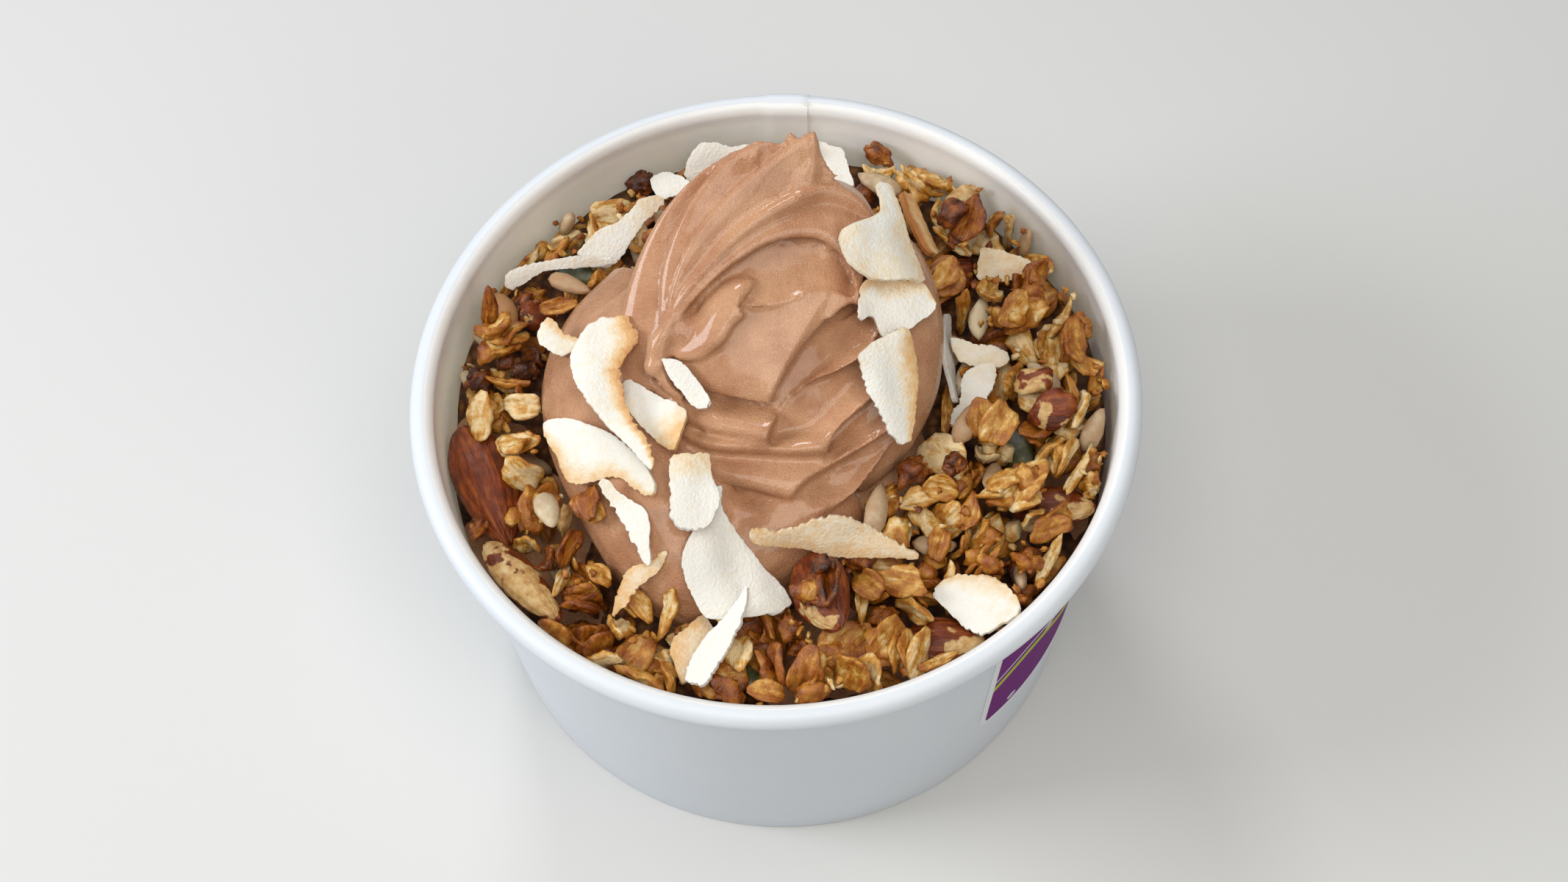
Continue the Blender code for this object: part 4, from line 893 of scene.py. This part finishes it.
def widths(values, u):
    """Smooth half-width at u from -0.5 to 0.5 through the listed values."""
    line = spline([(v, 0, 0) for v in values], 8)[:, 0]
    return float(np.interp(u, np.linspace(-0.5, 0.5, len(line)), line))


def chip(number, row, mat):
    """A shaving of coconut with broken edges, and toast where it caught the heat."""
    angles, length, left, right, bend, toast = row
    stations = max(24, int(length / 0.33))
    strips = 22
    rough = [0.25 + 0.9 * abs(wander(1.7, number + k, 3.1)) for k in (0, 0.5)]
    bm = bmesh.new()
    rows = []
    heat = []
    for i in range(stations + 1):
        u = i / stations - 0.5
        rag = [size * sum(part * wander(u * length, number + k, scale) for part, scale in RAG)
               for size, k in zip(rough, (0.2, 0.6))]
        wide = [widths(left, u) + rag[0], widths(right, u) + rag[1]]
        near = CHIP_CORNER - (0.5 - abs(u)) * length
        cut = CHIP_CORNER - math.sqrt(CHIP_CORNER ** 2 - near ** 2) if near > 0 else 0.0
        half = max(0.2, sum(wide) / 2 - 0.8 * cut)
        row_verts = []
        for j in range(strips + 1):
            v = 2 * j / strips - 1
            y = (wide[0] - wide[1]) / 2 + half * v
            torn = 0.5 * wander(y, number + (0.4 if u < 0 else 0.8), 1.2) * smooth_step((abs(u) - 0.4) * 10)
            warp = 0.6 * noise.noise(Vector((y * 0.2, u * length * 0.14, number * 5.1)))
            aside = Vector((0, y, warp - CHIP_SAG * (half * v) ** 2))
            p = along_chip(u + torn / length, length, bend) + aside
            row_verts.append(bm.verts.new(p * MM))
            spots = [t * smooth_step((n + 0.1) / 1.1) for t, n in zip(toast[:4], (v, -v, -2 * u, 2 * u))]
            rim = smooth_step((max(abs(v), 2 * abs(u)) - 0.9) / 0.1)
            patch = max(0.0, wander(u * length + 3 * v, number + 0.3, 0.5))
            heat.append(toast[4] + max(spots) + rim * 0.3 * patch)
        rows.append(row_verts)
    skin(bm, list(zip(*rows)))
    centre = sum((v.co for v in bm.verts), Vector()) / len(bm.verts)
    bm.transform(Matrix.Translation(-centre))
    node = f"coconut_chip_{number:02d}"
    mesh = mesh_from(bm, node)
    paint(mesh, toast=heat)
    ob = add_piece(f"coconut_{number:02d}", mesh, mat, "coconut", node)
    thicken(ob, CHIP_THICKNESS, 0.0, 50)
    return laid(ob, node, angles)


def laid(ob, node, angles, drop=TOPPING_DROP):
    """The object turned, with the middle of its turned box at the node's middle, then down by a little."""
    ob.rotation_euler = turn(*angles).to_euler()
    rotation = ob.rotation_euler.to_matrix()
    corners = np.array([rotation @ v.co for v in ob.data.vertices])
    middle = (corners.min(0) + corners.max(0)) / 2
    ob.location = middle_of(node) - Vector(middle) - Vector((0, 0, drop * MM))
    return ob


def pebble(name, size, taper, segments, rings, shape):
    """An ellipsoid tapered to one end; shape gives each point's extra radius from its direction."""
    bm = bmesh.new()
    bmesh.ops.create_uvsphere(bm, u_segments=segments, v_segments=rings, radius=0.5)
    bm.transform(Matrix.Rotation(math.pi / 2, 4, "Y"))
    for v in bm.verts:
        thin = 1 - taper * (v.co.x + 0.5) ** 2
        grow = 1 + shape(v.co)
        v.co.y *= thin
        v.co.z *= thin
        v.co = Vector((v.co.x * size[0], v.co.y * size[1], v.co.z * size[2])) * grow * MM
    return mesh_from(bm, name)


def wrinkles(seed):
    """Lengthwise creases in an almond's skin, with a slow unevenness."""
    def shape(p):
        angle = math.atan2(p.z, p.y)
        crease = noise.noise(Vector((p.x * 3 + seed, math.cos(angle) * 5, math.sin(angle) * 5)))
        return 0.045 * crease + 0.05 * noise.noise(p * 3 + Vector((seed, seed, 0)))
    return shape


def almond(number, row, mat):
    angles, size, bare = row
    node = f"almond_{number:02d}"
    mesh = pebble(node, size, 0.35, 96, 64, wrinkles(number * 3.7))
    cut = []
    for v in mesh.vertices:
        up = v.co.z / (size[2] * 0.5 * MM)
        cut.append(bare * smooth_step(0.5 + 0.5 * up - v.co.y / (size[1] * MM)) + bare * 0.3)
    paint(mesh, bare=cut)
    ob = add_piece(node + "_nut", smooth(mesh), mat, "almond", node)
    return laid(ob, node, angles)


def pumpkin_seed(number, row, mat):
    angles, size = row
    node = f"pumpkin_seed_{number:02d}"

    def shape(p):
        return 0.05 * math.exp(-(p.z / 0.09) ** 2) + 0.03 * noise.noise(p * 4 + Vector((number, 0, 0)))
    mesh = pebble(node, size, 0.3, 48, 32, shape)
    ob = add_piece(node + "_kernel", smooth(mesh), mat, "pumpkin_seed", node)
    return laid(ob, node, angles)


# ---- granola shapes
# A shape is (points, triangles, rim, grain): rim is 1 at a flake's edge, grain is a place in its own pattern.

class Batch:
    """Many small closed shapes gathered into one mesh."""

    def __init__(self):
        self.points, self.faces, self.tone, self.rim, self.grain = [], [], [], [], []
        self.count = 0

    def add(self, shape, tone):
        points, faces, rim, grain = shape
        self.points.append(points)
        self.faces.append(faces + self.count)
        self.tone.append(np.full(len(points), tone))
        self.rim.append(rim)
        self.grain.append(grain)
        self.count += len(points)

    def mesh(self, name):
        mesh = bpy.data.meshes.new(name)
        mesh.from_pydata((np.vstack(self.points) * MM).tolist(), [], np.vstack(self.faces).tolist())
        paint(mesh, tone=np.concatenate(self.tone), rim=np.concatenate(self.rim))
        layer = mesh.attributes.new("grain", "FLOAT_VECTOR", "POINT")
        layer.data.foreach_set("vector", np.vstack(self.grain).astype(np.float32).ravel())
        return smooth(mesh)


def round_faces(around, rings):
    """Triangles of a closed shape: a pole, rings of points, and a pole."""
    faces = []
    last = 1 + around * rings
    for i in range(around):
        j = (i + 1) % around
        faces.append((0, 1 + j, 1 + i))
        for k in range(rings - 1):
            a = 1 + k * around
            b = a + around
            faces += [(a + i, a + j, b + j), (a + i, b + j, b + i)]
        end = last - around
        faces.append((last, end + i, end + j))
    return np.array(faces)


FLAKE_AROUND = 18
FLAKE_RINGS = (0.3, 0.58, 0.8, 0.95, 1.0, 0.9, 0.7, 0.4)
FLAKE_EDGE = 4                  # index of the outermost ring
FLAKE_FACES = round_faces(FLAKE_AROUND, len(FLAKE_RINGS))


def flake(rnd, size, crease=0.35):
    """A rolled oat: an oval sheet with a crease along it, a wavy broken rim and a buckled face."""
    length, width, thick = size
    turns = np.linspace(0, 2 * math.pi, FLAKE_AROUND, endpoint=False)
    outline = np.ones(FLAKE_AROUND)
    for k, size_k in ((2, 0.06), (3, 0.08), (4, 0.06), (5, 0.05), (7, 0.05)):
        outline += size_k * np.sin(k * turns + rnd.uniform(0, 6.3)) * rnd.uniform(0.3, 1.3)
    bite = np.cos(turns - rnd.uniform(0, 6.3))
    outline -= rnd.choice((0, 0.1, 0.25)) * np.clip(bite * 2 - 1, 0, 1)
    r, x, y, face = [0.0], [0.0], [0.0], [1.0]
    for k, ring in enumerate(FLAKE_RINGS):
        x += list(length / 2 * ring * outline * np.cos(turns))
        y += list(width / 2 * ring * outline * np.sin(turns))
        r += [ring] * FLAKE_AROUND
        face += [float(np.sign(FLAKE_EDGE - k))] * FLAKE_AROUND
    x, y, r, face = (np.array(q + [end]) for q, end in ((x, 0.0), (y, 0.0), (r, 0.0), (face, -1.0)))
    across = y / width
    z = face * thick / 2 * (1 - 0.55 * r ** 5)
    z -= crease * thick * np.exp(-(across / 0.09) ** 2) * (1 - r ** 2)
    ribs = across * rnd.uniform(18, 26) + rnd.uniform(0, 6.3) + x * rnd.uniform(-0.2, 0.2)
    z += 0.16 * thick * np.sin(ribs)
    cup, curl, twist = rnd.uniform(-0.5, 1.0), rnd.uniform(-1.0, 1.2), rnd.uniform(-0.9, 0.9)
    z += cup * (2 * across) ** 2 + curl * (2 * x / length) ** 2 + twist * (2 * x / length) * (2 * across)
    z += 0.3 * r ** 2 * np.sin(3 * np.arctan2(y, x) + rnd.uniform(0, 6.3))
    jitter = np.array([rnd.gauss(0, 0.06) for _ in range(3 * len(x))]).reshape(-1, 3)
    grain = np.stack([x * 0.3, y * 1.6, face * 0.4 + rnd.uniform(0, 99)], 1)
    return np.stack([x, y, z], 1) + jitter, FLAKE_FACES, r ** 4, grain


def ball(divisions):
    bm = bmesh.new()
    bmesh.ops.create_icosphere(bm, subdivisions=divisions, radius=0.5)
    points = np.array([v.co for v in bm.verts])
    faces = np.array([[v.index for v in f.verts] for f in bm.faces])
    bm.free()
    return points, faces


BALLS = {divisions: ball(divisions) for divisions in (2, 3)}


def lump(rnd, size, rough=0.5, taper=0.0, divisions=3):
    """A knobbly piece of baked sugar and oats, or with a taper and little roughness a seed."""
    ball_points, ball_faces = BALLS[divisions]
    offset = Vector((rnd.uniform(-50, 50), rnd.uniform(-50, 50), 0))
    knobs = [noise.noise(Vector(p) * 2.4 + offset) + 0.5 * noise.noise(Vector(p) * 6 + offset)
             + 0.25 * noise.noise(Vector(p) * 13 + offset) for p in ball_points]
    grow = 1 + rough * np.array(knobs)
    thin = 1 - taper * (ball_points[:, 0] + 0.5) ** 2
    points = ball_points * grow[:, None] * np.array(size)
    points[:, 1] *= thin
    points[:, 2] *= thin
    return points, ball_faces, np.zeros(len(points)), points * (0.5, 0.9, 0.9) + rnd.uniform(0, 99)


def moved(shape, rotation, offset=(0, 0, 0)):
    return (shape[0] @ np.array(rotation).T + np.array(offset),) + shape[1:]


def random_turn(rnd, tilt):
    return turn(rnd.uniform(-180, 180), rnd.gauss(0, tilt), rnd.gauss(0, tilt))


def oat_size(rnd):
    length = rnd.uniform(5.4, 9.0)
    return length, length * rnd.uniform(0.58, 0.84), rnd.uniform(0.8, 1.3)


def stack(rnd, count, tone):
    """Oats baked together nearly face to face, each slipped along the next."""
    made = []
    spread = rnd.uniform(-1.2, 1.2)
    for k in range(count):
        rotation = turn(rnd.gauss(0, 16), rnd.gauss(0, 9), rnd.gauss(0, 12))
        slip = (rnd.gauss(0, 0.9), spread * (k - count / 2) + rnd.gauss(0, 0.4))
        place = (*slip, 1.35 * (k - (count - 1) / 2))
        made.append((moved(flake(rnd, oat_size(rnd)), rotation, place), tone + rnd.gauss(0, 0.1)))
    return made


def gathered(parts, rotation, offset=(0, 0, 0)):
    return [(moved(shape, rotation, offset), tone) for shape, tone in parts]


def crumbs_on(rnd, parts, count, sizes):
    """Small crumbs stuck to the surface of other shapes."""
    made = []
    for _ in range(count):
        shape, tone = rnd.choice(parts)
        spot = shape[0][rnd.randrange(len(shape[0]))]
        size = [rnd.uniform(*sizes) * k for k in (1.3, 1.0, 0.55)]
        crumb = moved(lump(rnd, size, 0.7, divisions=2), random_turn(rnd, 40), spot)
        made.append((crumb, tone + rnd.gauss(-0.08, 0.1)))
    return made


def cluster_shapes(rnd, size, tone):
    """Oats stuck together by baked sugar, filling an ellipsoid of about this size."""
    made = []
    for _ in range(max(1, int(size[0] * size[1] / 38))):
        place = [rnd.uniform(-0.27, 0.27) * s for s in size]
        tilt = turn(rnd.uniform(-40, 40), rnd.gauss(0, 25), rnd.choice((-1, 1)) * rnd.uniform(15, 75))
        made += gathered(stack(rnd, rnd.choice((2, 3, 3, 4)), tone), tilt, place)
    for _ in range(max(2, int(size[0] * size[1] / 24))):
        place = [rnd.uniform(-0.33, 0.33) * s for s in size]
        lump_size = [rnd.uniform(2.2, 4.4) for _ in range(3)]
        nub = moved(lump(rnd, lump_size, divisions=2), random_turn(rnd, 60), place)
        made.append((nub, tone + rnd.gauss(0.08, 0.12)))
    return made + crumbs_on(rnd, made, int(size[0] * size[1] / 14), (0.6, 1.4))


def big_cluster(number, row, mat):
    heading, size, tone = row
    node = f"granola_cluster_{number:02d}"
    rnd = random.Random(90 + number)
    batch = Batch()
    batch.add(moved(lump(rnd, [s * 0.66 for s in size]), turn(heading, 0, 0)), tone + 0.12)
    for shape, shade in gathered(cluster_shapes(rnd, [s * 0.86 for s in size], tone), turn(heading, 0, 0)):
        batch.add(shape, shade)
    ob = add_piece(f"baked_cluster_{number:02d}", batch.mesh(node), mat, "granola", node)
    return laid(ob, node, (0, 0, 0), CLUSTER_DROP)


# ---- the granola heap

def heap_height(x, y, dents):
    """Top of the loose granola: uneven, and dented where an almond or a cluster is half buried."""
    r = math.hypot(x, y)
    a = math.atan2(y, x)
    uneven = math.sin(7 * a + 0.12 * r) + 0.8 * math.sin(11 * a - 0.3 * r + 1.0)
    top = HEAP_MEAN + 0.55 * (uneven + 0.7 * math.sin(4 * a + 0.5 * r))
    for middle, size in dents:
        away = math.hypot(x - middle.x / MM, y - middle.y / MM) / size
        top -= DENT * smooth_step(1.4 - 1.4 * away)
    return top


def core(dents, mat):
    """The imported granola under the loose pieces."""
    bm = bmesh.new()
    rows = []
    for i in range(CORE_SPOKES):
        angle = 2 * math.pi * i / CORE_SPOKES
        out = Vector((math.cos(angle), math.sin(angle), 0))
        ring = [out * CORE_START + Vector((0, 0, FILL_LEVEL - 1))]
        for r in np.linspace(CORE_START, inner_radius(50) - 0.1, CORE_RINGS):
            p = out * r
            rough = 0.5 * noise.noise(p * 0.5) + 0.35 * noise.noise(p * 1.3)
            ring.append(p + Vector((0, 0, heap_height(p.x, p.y, dents) - CORE_DROP + rough)))
        ring.append(out * (inner_radius(FILL_LEVEL) - 0.1) + Vector((0, 0, FILL_LEVEL - 1)))
        rows.append([bm.verts.new(p * MM) for p in ring])
    skin(bm, rows + rows[:1], around=True)
    bmesh.ops.recalc_face_normals(bm, faces=bm.faces[:])
    return add_piece("granola_core", smooth(mesh_from(bm, "granola_core")), mat, "granola", "granola")


def tree_of(obs):
    """One search tree over several objects as they stand."""
    points, faces = [], []
    for ob in obs:
        spin = ob.rotation_euler.to_matrix()
        start = len(points)
        points += [spin @ v.co + ob.location for v in ob.data.vertices]
        faces += [tuple(start + i for i in p.vertices) for p in ob.data.polygons]
    return BVHTree.FromPolygons(points, faces)


class Heap:
    """A height map of what the loose pieces fall on, and of what lies over them."""

    def __init__(self, below, above, dents):
        count = int(2 * SPAN / CELL) + 1
        self.floor = np.full((count, count), 200.0)
        self.roof = np.full((count, count), 200.0)
        self.open = np.zeros((count, count), bool)
        floor_tree, roof_tree = tree_of(below), tree_of(above)
        reach = inner_radius(HEAP_MEAN)
        for i in range(count):
            for j in range(count):
                x, y = i * CELL - SPAN, j * CELL - SPAN
                if math.hypot(x, y) > reach:
                    continue
                ground = heap_height(x, y, dents) - CORE_DROP
                hit = floor_tree.ray_cast(Vector((x, y, 120)) * MM, Vector((0, 0, -1)))[0]
                top = hit.z / MM if hit else 0.0
                self.floor[i, j] = max(ground, top)
                self.open[i, j] = top < ground + 0.5
                hit = roof_tree.ray_cast(Vector((x, y, FILL_LEVEL)) * MM, Vector((0, 0, 1)))[0]
                if hit:
                    self.roof[i, j] = hit.z / MM

    def cells(self, points):
        at = np.rint((points[:, :2] + SPAN) / CELL).astype(int)
        return np.clip(at[:, 0], 0, len(self.floor) - 1), np.clip(at[:, 1], 0, len(self.floor) - 1)

    def rest(self, points):
        """How far up the points must go to rest on the heap, and the mean gap left under them."""
        at = self.cells(points)
        gaps = self.floor[at] - points[:, 2]
        lift = gaps.max() - SINK
        height = points[:, 2] + lift
        radius = np.hypot(points[:, 0], points[:, 1])
        if (radius > inner_radius(height) - 0.15).any() or (height > self.roof[at] - 0.1).any():
            return None
        return lift, float(np.mean(lift - gaps))

    def take(self, points):
        at = self.cells(points)
        np.maximum.at(self.floor, at, points[:, 2])


def target_height(x, y):
    """The heap stands higher at the right than at the left, and a little higher at the front."""
    return HEAP_MEAN + 1.2 + 0.035 * x - 0.01 * y


# Smallest and largest length, width and height of each kind of loose piece
SIZES = {"clump": ((7.0, 11.5), (5.5, 8.5), (3.2, 5)),
         "nugget": ((3.2, 6.0), (2.8, 4.4), (2.4, 3.6)),
         "sliver": ((7, 11), (1.8, 2.8), (1.0, 1.5)),
         "almond_bit": ((6, 9), (4, 6), (2, 3)),
         "seed": ((7.0, 8.8), (3.6, 4.6), (2.2, 3.0)),
         "crumb": ((0.9, 2.2), (0.8, 1.6), (0.4, 0.8))}
NUT_SIZE = (9.6, 5.6, 4.0)


def size_of(rnd, kind):
    return [rnd.uniform(*limits) for limits in SIZES[kind]]


def loose_parts(rnd, kind, tone):
    """One loose piece, as (shape, tone) parts under the name of the mesh they end up in."""
    if kind == "flake":
        return {"flakes": [(flake(rnd, oat_size(rnd)), tone)]}
    if kind == "pair":
        return {"flakes": stack(rnd, 2, tone)}
    if kind == "nut":
        return {"kernels": [(lump(rnd, NUT_SIZE, 0.06, 0.1), 0.85)]}
    size = size_of(rnd, kind)
    if kind == "clump":
        return {"clumps": cluster_shapes(rnd, size, tone)}
    if kind == "nugget":
        body = [(lump(rnd, size, 0.6), tone + 0.15)]
        return {"clumps": body + crumbs_on(rnd, body, 5, (0.6, 1.3))}
    if kind == "sliver":
        return {"flakes": [(flake(rnd, size, 0.0), tone * 0.6)]}
    if kind == "almond_bit":
        return {"almond_bits": [(lump(rnd, size, 0.35), tone)]}
    return {"kernels": [(lump(rnd, size, 0.12, 0.5, 2), tone * 0.7)]}


# Pieces that stand out: kind, middle (x, y), (heading, pitch, roll), tone.
PLACED = [
    ("nut", (-42.6, 18.6), (-72, 10, 10), 0.5),
    ("sliver", (-45.0, 19.0), (84, 62, 0), 0.9),
    ("clump", (-45.5, 14.5), (60, 10, 0), 0.35),
    ("seed", (-33.5, 24.0), (-30, 5, 0), 0.8),
    ("sliver", (-33.0, 18.5), (8, 8, 20), 0.6),
    ("pair", (-29.4, -20.8), (-50, 10, 25), 0.35),
    ("seed", (-36.0, -19.5), (-78, 16, -10), 0.3),
    ("clump", (-20.5, -36.5), (20, 5, 10), 0.4),
    ("clump", (4.6, -36.4), (60, 15, 10), 0.62),
    ("clump", (15.4, -18.5), (80, 20, 0), 0.35),
    ("seed", (13.5, -20.5), (78, 10, 10), 0.6),
    ("nugget", (19.5, -14.0), (40, 20, 0), 0.55),
    ("flake", (19.0, -35.0), (-20, 10, 14), 0.3),
    ("flake", (13.5, -33.0), (-50, 24, 10), 0.4),
    ("seed", (28.2, -7.5), (62, 14, 0), 0.8),
    ("pair", (33.0, -9.0), (55, 20, 15), 0.3),
    ("nugget", (28.0, -14.0), (0, 0, 0), 0.7),
    ("clump", (35.5, -19.5), (20, 20, 10), 0.2),
    ("almond_bit", (43.0, -7.5), (20, 20, 20), 0.4),
    ("clump", (38.0, 2.0), (30, 20, 0), 0.25),
    ("pair", (47.0, 3.5), (100, 20, 50), 0.5),
    ("clump", (39.0, 12.5), (10, 12, 0), 0.3),
    ("almond_bit", (39.5, -1.0), (10, 12, 0), 0.5),
    ("pair", (29.5, 18.5), (20, 15, 0), 0.2),
    ("clump", (37.0, 20.5), (-10, 12, 0), 0.45),
    ("nugget", (25.5, 33.0), (10, 12, 0), 0.6),
    ("clump", (22.5, 39.0), (100, 12, 0), 0.15),
    ("nugget", (30.5, 33.5), (30, 12, 0), 0.7),
]

# Kinds of the rest, with their share and how toasted they are (middle, spread).
KINDS = (("flake", 0.24, (0.24, 0.2)), ("pair", 0.15, (0.24, 0.2)), ("clump", 0.34, (0.26, 0.18)),
         ("nugget", 0.11, (0.40, 0.2)), ("sliver", 0.08, (0.35, 0.2)), ("seed", 0.035, (0.5, 0.25)),
         ("almond_bit", 0.04, (0.4, 0.2)))
LOOSE_PIECES = 1400
LOOSE_CRUMBS = 500
HEAP_SLACK = 3.6                # how far a loose piece's middle may stand over the heap's outline
CRUMB_SLACK = 4.0               # the same for a crumb
ROOF_ROOM = 2.5                 # the heap stops this far under what hangs over it
PLACED_ROOM = 1.8               # how much of the heap is left out under a piece that stands out
PLACED_REACH = 5                # how far round it
NUDGE = 1.1                     # step between the nine spots that such a piece is tried at
SINK = 0.35                     # how far a piece presses into what is under it
HOLLOW_SOFTNESS = 1.1           # the smaller this depth, the more the deepest hollows are chosen
SPOTS_TRIED = 14
TIRED = 0.3                     # a spot asks for this much less each time it has been tried


def drop(heap, parts, batches, spots, slack=HEAP_SLACK):
    """Rests one piece on the heap at the best of the spots: each is (x, y, rotation)."""
    points = np.vstack([shape[0] for group in parts.values() for shape, _ in group])
    best = None
    for x, y, spin in spots:
        trial = points @ np.array(spin).T + (x, y, 0)
        found = heap.rest(trial)
        if not found:
            continue
        lift, gap = found
        over = trial[:, 2].mean() + lift - target_height(x, y)
        cost = gap + 0.6 * max(0.0, over)
        if over < slack and (best is None or cost < best[0]):
            best = (cost, spin, (x, y, lift))
    if best is None:
        return
    for group, shapes in parts.items():
        for shape, tone in gathered(shapes, best[1], best[2]):
            batches[group].add(shape, tone)
            heap.take(shape[0])


def scatter(heap, batches):
    """Fills the hollows of the heap with loose pieces, then sets out the ones that stand out."""
    rnd = random.Random(5)
    spots = np.argwhere(heap.open)
    where = spots * CELL - SPAN
    roof = heap.roof[heap.open] - ROOF_ROOM
    target = np.minimum(roof, [target_height(x, y) for x, y in where])
    for _, middle, _, _ in PLACED:
        away = np.hypot(*(where - middle).T)
        target -= PLACED_ROOM * np.exp(-(away / PLACED_REACH) ** 2)
    for _ in range(LOOSE_PIECES):
        kind, _, (middle, spread) = rnd.choices(KINDS, [share for _, share, _ in KINDS])[0]
        tone = min(0.95, max(0.0, rnd.gauss(middle, spread)))
        hollow = (target - heap.floor[spots[:, 0], spots[:, 1]]) / HOLLOW_SOFTNESS
        need = np.cumsum(np.exp(np.clip(hollow, -8, 8)))
        picks = [int(np.searchsorted(need, rnd.random() * need[-1])) for _ in range(SPOTS_TRIED)]
        target[picks] -= TIRED
        trials = [(x + rnd.uniform(-0.3, 0.3), y + rnd.uniform(-0.3, 0.3),
                   random_turn(rnd, rnd.choice((12, 30, 55)))) for x, y in where[picks]]
        drop(heap, loose_parts(rnd, kind, tone), batches, trials)
    for kind, (x, y), angles, tone in PLACED:
        spots = [(x + NUDGE * i, y + NUDGE * j, turn(*angles)) for i in (0, 1, -1) for j in (0, 1, -1)]
        drop(heap, loose_parts(rnd, kind, tone), batches, spots, TUB_HEIGHT)
    for _ in range(LOOSE_CRUMBS):
        x, y = where[rnd.randrange(len(where))]
        parts = {"crumbs": [(lump(rnd, size_of(rnd, "crumb"), 0.7, divisions=2), rnd.gauss(0.35, 0.2))]}
        drop(heap, parts, batches, [(x, y, random_turn(rnd, 50))], CRUMB_SLACK)


def granola(swirl, toppings, chips):
    sunk_rows = {"almond": ALMONDS, "granola_cluster": CLUSTERS}
    dents = [(middle_of(f"{kind}_{i:02d}"), row[1][0]) for kind, rows in sunk_rows.items()
             for i, row in enumerate(rows, 1)]
    # The core's material is painted dark as shade for the gaps under the loose pieces
    core(dents, crumb_bed_painted_shade())
    heap = Heap([swirl] + toppings, chips, dents)
    mats = dict.fromkeys(("flakes", "clumps", "crumbs"), OATS)
    mats.update(kernels=seed_kernel(), almond_bits=ALMOND_BITS)
    batches = {name: Batch() for name in mats}
    scatter(heap, batches)
    for name, batch in batches.items():
        add_piece("granola_" + name, batch.mesh(name), mats[name], "granola", "granola")


# ---- stage

CAMERA_PLACE = (0.0, -0.21165, 0.418947)        # metres
CAMERA_TURN = (29.50211, 1.43167, -2.7995)      # degrees
LIT_POINT = Vector((0, 0, 0.06))                # what the lights are aimed at, in metres
LENS = 60.71
SENSOR = 36.0


def stage():
    bm = bmesh.new()
    bmesh.ops.create_grid(bm, x_segments=1, y_segments=1, size=3.0)
    floor = linked("table", mesh_from(bm, "table"))
    floor.data.materials.append(table_top())


def area_light(name, place, size, power, colour):
    lamp = bpy.data.lights.new(name, "AREA")
    lamp.size = size
    lamp.energy = power
    lamp.color = colour
    ob = linked(name, lamp)
    ob.location = place
    aim = LIT_POINT - Vector(place)
    ob.rotation_euler = aim.to_track_quat("-Z", "Y").to_euler()


def lights():
    area_light("top", (0.02, -0.22, 0.72), 0.5, 3.0, (1.0, 0.95, 0.87))
    area_light("left", (-0.58, -0.03, 0.44), 0.28, 3.0, (0.93, 0.96, 1.0))
    area_light("front", (0.34, -0.52, 0.50), 0.3, 0.8, (1.0, 0.94, 0.85))
    area_light("back", (-0.14, 0.55, 0.58), 0.16, 1.5, (0.97, 0.98, 1.0))
    world = bpy.data.worlds.new("studio")
    bpy.context.scene.world = world
    world.use_nodes = True
    world.node_tree.nodes["Background"].inputs["Color"].default_value = (0.86, 0.93, 1.0, 1)
    world.node_tree.nodes["Background"].inputs["Strength"].default_value = 0.24
    bpy.context.scene.view_settings.view_transform = "Standard"


def camera():
    """The view: down at 60 degrees from above the front rim, rolled a few degrees."""
    cam = linked("camera", bpy.data.cameras.new("camera"))
    cam.location = CAMERA_PLACE
    cam.rotation_euler = [math.radians(a) for a in CAMERA_TURN]
    cam.data.sensor_width = SENSOR
    cam.data.lens = LENS
    bpy.context.scene.camera = cam


tub()
label()
swirl_piece = yogurt()
COCONUT = coconut()
ALMOND = almond_skin("almond", "bare")
ALMOND_BITS = almond_skin("almond_bits", "tone")
PUMPKIN = pumpkin_skin()
OATS = oats()
chip_pieces = [chip(i, row, COCONUT) for i, row in enumerate(CHIPS, 1)]
sunk = [make(i, row, mat)
        for make, rows, mat in ((almond, ALMONDS, ALMOND), (pumpkin_seed, PUMPKIN_SEEDS, PUMPKIN),
                                (big_cluster, CLUSTERS, OATS))
        for i, row in enumerate(rows, 1)]
granola(swirl_piece, sunk, chip_pieces)
stage()
lights()
camera()
